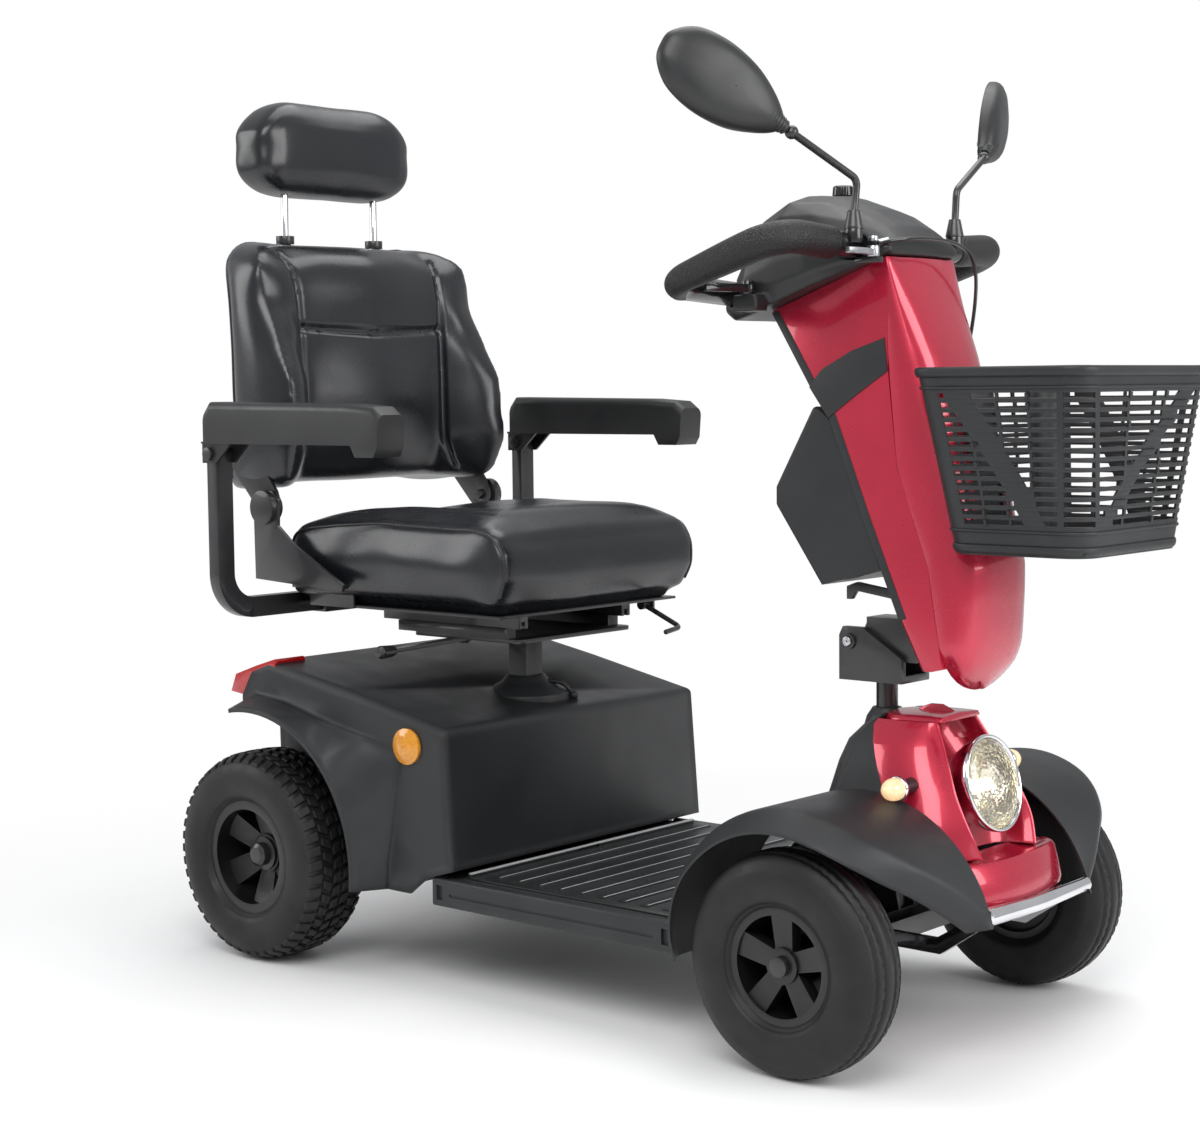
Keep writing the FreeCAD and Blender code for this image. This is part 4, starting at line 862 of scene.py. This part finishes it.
def slotted_row(quads, side, z0, z1):
    """Row with openings: whole corners at the back, open ones in front, bars along the wall."""
    corner = [(1.0, 2.0)] if side in (1, 2) else [(1.0, 1.1), (1.9, 2.0)]
    for span in corner:
        basket_strip(quads, side, span, span, z0, z1)
    low, high = open_spans(side, z0), open_spans(side, z1)
    if len(low) != len(high):
        high = low
    starts = [0.0] + [e for span in low for e in span] + [1.0]
    ends = [0.0] + [e for span in high for e in span] + [1.0]
    for m in range(0, len(starts), 2):
        basket_strip(quads, side, starts[m:m + 2], ends[m:m + 2], z0, z1)


def basket_levels():
    levels = [0.668, 0.702]
    z = 0.702
    while z < 0.868:
        levels += [z + 0.0052, z + 0.0122]
        z += 0.0122
    return levels + [0.905]


def weld_quads(bm):
    bmesh.ops.remove_doubles(bm, verts=bm.verts, dist=0.00005)
    bmesh.ops.recalc_face_normals(bm, faces=bm.faces)


def basket_wall():
    levels = basket_levels()
    quads = []
    for side in range(4):
        for k, (z0, z1) in enumerate(zip(levels, levels[1:])):
            if k % 2 == 0 and k > 0 and z1 < 0.878:
                slotted_row(quads, side, z0, z1)
                continue
            for span in ((0.0, 1.0), (1.0, 2.0)):
                basket_strip(quads, side, span, span, z0, z1)
    verts = [p for quad in quads for p in quad]
    faces = [tuple(range(n, n + 4)) for n in range(0, len(verts), 4)]
    wall = mesh_object("basket_wall", verts, faces, PLASTIC)
    edit_mesh(wall, weld_quads)
    thicken(wall, 0.003)
    crisp_form(wall, 0.0007, 40, 35)
    fit(wall, "tiller", "basket")


def basket_bracket():
    outline = [(0.508, 0.886), (0.538, 0.886), (0.563, 0.69), (0.56, 0.69)]
    verts = [(x, y, z) for y in (-0.03, 0.03) for x, z in outline]
    bracket = mesh_object("basket_bracket", verts, BOX, STEEL_BLACK)
    crisp_form(bracket, 0.002, 30)
    fit(bracket, "tiller")


def basket_form():
    basket_wall()
    basket_ring("basket_rim", 0.8985, 0.0012, 0.0065, 0.0034)
    basket_ring("basket_rim_low", 0.879, 0.0006, 0.0022, 0.0018)
    basket_ring("basket_base_rim", 0.676, 0.0006, 0.006, 0.0026)
    basket_ring("basket_base_line", 0.699, 0.0006, 0.0022, 0.0018)
    basket_floor()
    basket_bracket()


def basket_ring(name, z, out, half_height, thick):
    """Rounded band around the basket at height z."""
    stations = []
    for side in range(4):
        stations += [(side, k / 5.0) for k in range(5)]
        stations += [(side, 1.0 + k / 8.0) for k in range(8)]
    stations.append(stations[0])
    turns = [2 * math.pi * k / 10 for k in range(10)]
    rows = [[basket_point(side, f, z + half_height * math.sin(a), out + thick * math.cos(a)) for a in turns]
            for side, f in stations]
    obj = grid_skin(name, rows, PLASTIC, caps=False)
    fit(obj, "tiller")


def basket_floor():
    """Floor with four slots in every second row."""
    xs = [0.572 + 0.0118 * k for k in range(17)]
    ys = [-0.122 + 0.0122 * k for k in range(21)]
    n = len(ys)
    faces = []
    for i in range(len(xs) - 1):
        for j in range(n - 1):
            if i % 2 == 1 and j % 4 != 0:
                continue
            faces.append((i * n + j, (i + 1) * n + j, (i + 1) * n + j + 1, i * n + j + 1))
    floor = mesh_object("basket_floor_form", [(x, y, 0.6712) for x in xs for y in ys], faces, PLASTIC)
    thicken(floor, 0.003, 1.0)
    crisp_form(floor, 0.0006, 40)
    fit(floor, "tiller")


# ---- front body ----
TILT = math.radians(14)
LAMP = Vector((0.557, 0, 0.351))
LAMP_OUT = Vector((math.cos(TILT), 0, math.sin(TILT)))
LAMP_UP = Vector((-math.sin(TILT), 0, math.cos(TILT)))


def lamp_turned(name, profile, material):
    """Surface of revolution about the headlight's axis from (depth, radius) pairs."""
    rows = [ring(LAMP + LAMP_OUT * d, LAMP_UP, Vector((0, 1, 0)), r, 72) for d, r in profile]
    return grid_skin(name, rows, material, caps=False)


def headlight_form():
    """Chrome bezel, reflector and bulb behind a clear glass."""
    bezel = lamp_turned("headlight_bezel", [
        (-0.055, 0.03), (-0.045, 0.048), (-0.02, 0.06), (-0.004, 0.0648), (0.002, 0.066),
        (0.005, 0.0652), (0.006, 0.063), (0.003, 0.0606), (-0.002, 0.06)], CHROME)
    reflector = lamp_turned("headlight_reflector", [
        (-0.001, 0.06), (-0.01, 0.056), (-0.024, 0.045), (-0.034, 0.032), (-0.041, 0.018),
        (-0.044, 0.005), (-0.044, 0.0001)], REFLECTOR)
    bulb = lamp_turned("headlight_bulb", [
        (-0.044, 0.0075), (-0.026, 0.008), (-0.022, 0.0076), (-0.016, 0.005), (-0.014, 0.0001)], BULB)
    lens = lamp_turned("headlight_glass", [
        (0.001, 0.0604), (0.004, 0.059), (0.0075, 0.048), (0.01, 0.032), (0.0115, 0.015),
        (0.012, 0.0001)], LAMP_GLASS)
    fit(bezel, "frame", "headlight_shell")
    fit(lens, "frame", "headlight_lens")
    fit(reflector, "frame")
    fit(bulb, "frame")


def smooth_value(p0, p1, p2, p3, t):
    """Value between p1 and p2 of the smooth run through four numbers."""
    square = 2 * p0 - 5 * p1 + 4 * p2 - p3
    cube = 3 * p1 - p0 - 3 * p2 + p3
    return 0.5 * (2 * p1 + (p2 - p0) * t + square * t * t + cube * t ** 3)


def through(rows, count):
    """Smooth run of count rows through the given rows of numbers."""
    out = []
    last = len(rows) - 1
    for i in range(count):
        t = i * last / (count - 1.0)
        k = min(int(t), last - 1)
        around = zip(rows[max(k - 1, 0)], rows[k], rows[k + 1], rows[min(k + 2, last)])
        out.append([smooth_value(*numbers, t - k) for numbers in around])
    return out


# Angle about the axle and y of the outer edge of a front fender.
FENDER = [(187, 320), (172, 332), (150, 340), (125, 340), (100, 340), (80, 340), (60, 325), (45, 290),
          (33, 240), (20, 185), (12, 150)]


def fender_section(edge):
    """Section (y, r) in mm at a place where the fender's edge lies at y = edge."""
    ridge = max(edge - 35.0, 134.0)
    k = (edge - ridge) / 35.0
    return [
        (128, 197.2), (128, 200), (ridge - 14 * k, 200.4), (ridge - 5 * k, 199.6), (ridge + 2 * k, 197.0),
        (ridge + 12 * k, 191.2), (edge - 4, 178.8), (edge, 175.8), (edge, 172.6), (edge - 4, 175.4),
        (ridge + 10 * k, 189.5), (ridge - 2 * k, 196.2), (ridge - 8 * k, 197.2),
    ]


def fender_forms():
    x, z = FRONT_AXLE
    for s, side in SIDES:
        rows = []
        for degrees, edge in through(FENDER, 72):
            a = math.radians(degrees)
            rows.append([(x + r * math.cos(a) / 1000.0, s * y / 1000.0, z + r * math.sin(a) / 1000.0)
                         for y, r in fender_section(edge)])
        obj = grid_skin("fender_form_" + side, rows, PLASTIC)
        crisp_form(obj, 0.0008, 48, 50)
        fit(obj, "frame", "front_fenders" if s > 0 else None)


# Rows of hood_row.
HOOD = [
    (262, 346, 125, 36, 585, 70), (300, 350, 123, 36, 572, 80), (340, 360, 113, 34, 552, 79),
    (376, 368, 102, 30, 534, 69), (404, 376, 88, 26, 519, 59), (424, 392, 72, 22, 508, 53),
    (434, 404, 62, 20, 503, 50),
]


def hood_row(z, back, half, cut, rim, w):
    """Outline of the hood at height z, from its left seam round the scooped front to the right."""
    seam = 330 + (z - 200) * 98 / 264.0
    corner = max(back + cut * 0.6, seam + 2)
    edge = half - max(0.0, back + cut * 0.6 - seam)
    side = [
        (seam, edge), (corner, half), (corner + 20, half), (rim - cut * 2.4, half),
        (rim - cut * 1.3, half - 4), (rim - cut * 0.55, half - (half - w) * 0.42),
        (rim - 9, w + 7), (rim - 2.5, w + 2.5), (rim, w - 1),
        (rim - 3, w - 5), (rim - 18, w - 9), (rim - 36, w - 15), (rim - 46, w - 28), (rim - 50, w * 0.3),
    ]
    outline = side + [(rim - 51, 0)] + [(x, -y) for x, y in reversed(side)]
    return metres([(x, y, z) for x, y in outline])


def part_behind(obj, name, a, b, material):
    """Splits a skin along the line a-b as seen from the side; returns its rear part."""
    rear = twin(obj, name)
    paint(rear, material)
    place = Vector((a[0], 0, a[1]))
    normal = Vector((b[1] - a[1], 0, a[0] - b[0])).normalized()
    for piece, front in ((obj, True), (rear, False)):
        edit_mesh(piece, lambda bm: bmesh.ops.bisect_plane(
            bm, geom=bm.verts[:] + bm.edges[:] + bm.faces[:], dist=1e-7, plane_co=place, plane_no=normal,
            clear_outer=front, clear_inner=not front))
    return rear


def hood_visor():
    rows = []
    for t in range(9):
        x = 410 + 98 * t / 8.0
        w = 40 + 13 * min(1.0, t / 2.0) - 3 * (t / 8.0) ** 4
        low = 430 + 3.0 * t / 8.0
        top = 439 + 2.5 * math.sin(math.pi * min(1.0, t / 7.0) * 0.5)
        rows.append(metres([(x, -w, low), (x, -w, low + 3), (x, -w + 5, top - 1), (x, 0, top + 1.5),
                            (x, w - 5, top - 1), (x, w, low + 3), (x, w, low)]))
    visor = grid_skin("hood_visor", rows, RED)
    crisp_form(visor, 0.0015, 35)
    return visor


def hood_fin():
    rows = []
    for x, z in ((440, 440.5), (448, 446), (462, 451), (480, 451.5), (494, 446), (502, 440.5)):
        rows.append(metres([(x, -3.4, 438), (x, -1.6, z), (x, 1.6, z), (x, 3.4, 438)]))
    fin = grid_skin("hood_fin", rows, RED)
    crisp_form(fin, 0.0008, 35)
    return fin


def nose_band():
    """Red band under the hood, swept back towards its ends."""
    rows = []
    for k in range(49):
        y = -122 + 244 * k / 48.0
        e = abs(y) / 122.0
        s = -20 * e ** 2.4 - 12 * max(0.0, (e - 0.88) / 0.12) ** 2
        profile = [(548, 202), (548, 262), (566 + s * 0.3, 259), (584 + s * 0.8, 258.5), (596 + s, 261),
                   (602 + s, 260.5), (606 + s, 256), (612 + s, 236), (617 + s, 216), (616 + s, 207),
                   (610 + s, 201.5), (600 + s, 200)]
        rows.append(metres([(x, y, z) for x, z in profile]))
    band = grid_skin("nose_band", rows, RED)
    crisp_form(band, 0.0012, 45)
    return band


def hood_form():
    rows = [hood_row(*row) for row in through(HOOD, 46)]
    hood = grid_skin("hood_form", rows, RED, caps=False, closed=False)
    thicken(hood, 0.0028)
    crisp_form(hood, 0.0012, 40, 42.0)
    rear = part_behind(hood, "hood_rear_cover", (0.42, 0.416), (0.457, 0.346), PLASTIC)
    fit(rear, "frame")
    fit(hood, "frame", "front_cowl")
    for piece in (hood_visor(), hood_fin(), nose_band()):
        fit(piece, "frame")


MIRROR_OUTLINE = [
    (-90, 0), (-86, 11), (-60, 30), (-20, 46), (30, 51), (74, 42), (100, 20), (105, 0), (100, -22),
    (74, -43), (30, -51), (-20, -45), (-60, -28), (-86, -11), (-90, 0),
]
# How far forward each outline of the mirror's back lies, and how large it is.
MIRROR_LEVELS = [
    (-7, 0.93), (-7, 0.975), (-5.5, 1.0), (-1, 1.0), (4, 0.99), (9, 0.955), (13.5, 0.885),
    (17.5, 0.77), (20.2, 0.6), (21.8, 0.38), (22.4, 0.16), (22.5, 0.01),
]


def mirror_neck_rows(s):
    """Ribbed neck, widening towards the head."""
    rows = []
    turns = [2 * math.pi * j / 28 for j in range(28)]
    for i in range(29):
        t = i / 28.0
        r = 8.2 + 8.5 * t + (1.1 if i % 4 in (1, 2) else 0.0)
        x = -95 + 36 * t
        rows.append([on_mirror(s, x, r * math.cos(q), 4 + r * 0.9 * math.sin(q)) for q in turns])
    return rows


def mirror_forms():
    smooth = through(MIRROR_OUTLINE, 85)[:-1]
    for s, side in SIDES:
        rows = [[on_mirror(s, a * k, b * k, c) for a, b in smooth] for c, k in MIRROR_LEVELS]
        shell = grid_skin("mirror_shell_" + side, rows, SHELL, caps=False)
        crisp_form(shell, 0.0006, 50, 60)
        neck = grid_skin("mirror_neck_" + side, mirror_neck_rows(s), SHELL)
        crisp_form(neck, 0.0003, 60, 30)
        fit(shell, "mirror_" + side, "mirror_head_" + side)
        fit(neck, "mirror_" + side)


INDICATOR = [
    ("lens", WARM, [(0.137, 0.0122), (0.139, 0.0145), (0.1405, 0.015), (0.146, 0.0152), (0.152, 0.0146),
                    (0.158, 0.0126), (0.163, 0.0092), (0.1665, 0.005), (0.168, 0.0002)]),
    ("ring", CHROME, [(0.134, 0.009), (0.134, 0.015), (0.1355, 0.0164), (0.1395, 0.0164), (0.141, 0.015),
                      (0.141, 0.009)]),
    ("stem", SHELL, [(0.104, 0.0002), (0.104, 0.0105), (0.126, 0.0085), (0.1345, 0.011), (0.1345, 0.0002)]),
]


def indicator_forms():
    for label, material, profile in INDICATOR:
        left = turned("indicator_%s_left" % label, profile, (0.497, 0.357), material, 40)
        crisp_form(left, 0.0003, 60, 50)
        fit(mirrored(left, "indicator_%s_right" % label), "frame")
        fit(left, "frame", "front_indicators" if label == "lens" else None)


def rod(name, a, b, r0, r1):
    """Bright round rod from a to b, tapering from r0 to r1."""
    a, b = Vector(a), Vector(b)
    axis = (b - a).normalized()
    u = axis.orthogonal().normalized()
    w = axis.cross(u)
    rows = [ring(a.lerp(b, t), u, w, r0 + (r1 - r0) * t, 20) for t in (0.0, 0.5, 1.0)]
    obj = grid_skin(name, rows, STEEL)
    crisp_form(obj, 0.0006, 45)
    fit(obj, "tiller")


def brake_cluster():
    """Lever perch and cable adjuster by the right mirror."""
    rod("perch_bolt", (0.437, -0.1035, 1.0722), (0.437, -0.1035, 1.079), 0.0068, 0.0062)
    rod("perch_post", (0.418, -0.107, 1.0722), (0.415, -0.107, 1.1), 0.0042, 0.0036)
    rod("cable_adjuster", (0.436, -0.0935, 1.07), (0.449, -0.084, 1.074), 0.0046, 0.004)


def rounded(points, radius, step=0.1):
    """Centre line through corners rounded to one radius."""
    pts = [Vector(p) / 1000.0 for p in points]
    out = [pts[0]]
    for a, b, c in zip(pts, pts[1:], pts[2:]):
        u, v = (b - a).normalized(), (c - b).normalized()
        turn = u.angle(v)
        start = b - u * (radius * math.tan(turn / 2))
        centre = b + (v - u).normalized() * (radius / math.cos(turn / 2))
        count = max(2, int(turn / step))
        for k in range(count + 1):
            t = turn * k / count
            out.append(centre + (start - centre) * math.cos(t) + u * (radius * math.sin(t)))
    out.append(pts[-1])
    return out


GRIP_LINE = [(403.6, -146, 1069.3), (402, -266, 1077), (220, -266, 1018), (216, -236, 1016.6)]


def grip_sleeves():
    """Thick dimpled rubber over the front and outer run of each handlebar loop."""
    line = resample(rounded(GRIP_LINE, 0.046), 0.004)
    last = len(line) - 1
    rows = []
    for i, p in enumerate(line):
        along = (line[min(i + 1, last)] - line[max(i - 1, 0)]).normalized()
        u = along.cross(Vector((0, 0, 1))).normalized()
        rise = min(1.0, i / 4.0)
        fade = min(1.0, (last - i) / (last * 0.55))
        r = 0.0176 + 0.0044 * math.sin(rise * math.pi / 2) * (fade * fade * (3 - 2 * fade))
        rows.append(ring(p, u, u.cross(along), r, 32))
    sleeve = grid_skin("grip_sleeve_right", rows, GRIP)
    crisp_form(sleeve, 0.0008, 50)
    fit(mirrored(sleeve, "grip_sleeve_left"), "tiller")
    fit(sleeve, "tiller")


CABLE_ROUTE = [
    (0.448, -0.1035, 1.0692), (0.47, -0.084, 1.076), (0.47, 0.04, 1.078), (0.474, 0.092, 1.056),
    (0.474, 0.092, 0.985), (0.464, 0.0856, 0.925),
]


def brake_cable():
    cable, spline = tube("brake_cable_line", "NURBS", CABLE_ROUTE, 0.0025, 4, GLOSS)
    cable.data.resolution_u = 24
    spline.order_u = 3
    spline.use_endpoint_u = True
    fit(cable, "tiller", "brake_cable")


def tilt_bolts():
    head = [(-0.0447, 0.0002), (-0.0447, 0.006), (-0.0437, 0.007), (-0.0411, 0.007), (-0.0411, 0.0002)]
    bolt = turned("tilt_bolt_right", head, (0.352, 0.532), STEEL, 36)
    for obj in (bolt, mirrored(bolt, "tilt_bolt_left")):
        fit(obj, "steering")


def wheel_backs():
    """Drums that close the inner side of each rim."""
    for end, axle, y, r in (("front", FRONT_AXLE, 0.264, 0.0705), ("rear", REAR_AXLE, 0.262, 0.0795)):
        profile = [(y, 0.022), (y + 0.004, r * 0.45), (y - 0.002, r * 0.8), (y - 0.003, r), (y - 0.006, r),
                   (y - 0.006, 0.022)]
        drum = turned(end + "_drum_left", profile, axle, RIM, 64)
        fit_pair(drum, end + "_wheel_")


def slab(name, x0, x1, half_width, z0, z1, material):
    corners = ((x0, -half_width), (x1, -half_width), (x1, half_width), (x0, half_width))
    obj = mesh_object(name, [(x, y, z) for z in (z0, z1) for x, y in corners], BOX, material)
    crisp_form(obj, 0.0003, 40)
    fit(obj, "frame")


def deck_trims_and_rib_glints():
    """Bright edging in front of the shroud, a lip under it, and thin bright lines on the mat's ribs, which
    are painted highlights standing in for glints on the rib edges.
    """
    slab("deck_trim", -0.1668, -0.1598, 0.262, 0.174, 0.1758, TRIM_AND_GLINT)
    slab("deck_rear_lip", -0.226, -0.1668, 0.268, 0.1646, 0.1662, PLASTIC)
    # painted highlight: thin bright slabs on the mat's ribs stand in for glints of light on the rib edges
    for k in range(9):
        x = -0.13 + 0.04 * k
        slab("rib_line_%d" % k, x + 0.0112, x + 0.0128, 0.246, 0.1731, 0.1736, TRIM_AND_GLINT)


def column_edges():
    """Dark strips along the seam between the column's red nose and its shell."""
    line = [(463, 571), (406, 704), (351, 840), (320, 882), (256, 984)]
    section = [(0.5, 82.0), (12, 82.0), (12, 83.8), (0.5, 83.8)]
    for s, side in SIDES:
        rows = [metres([(x + d, s * y, z + d * 0.25) for d, y in section]) for x, z in line]
        strip = grid_skin("column_edge_" + side, rows, PLASTIC)
        crisp_form(strip, 0.0004, 40)
        fit(strip, "tiller")


def console_form():
    form = rounded_copy("console_head", "console_form", 0.0022, 14)
    paint(form, SHELL)
    fit(form, "tiller", "console_head")


dress_frame()
set_camera()
set_studio()
make_seat()
front_tyres()
rear_tyres()
column_nose_form()
mirror_glasses()
basket_form()
headlight_form()
fender_forms()
hood_form()
mirror_forms()
indicator_forms()
brake_cluster()
grip_sleeves()
brake_cable()
tilt_bolts()
wheel_backs()
deck_trims_and_rib_glints()
column_edges()
console_form()
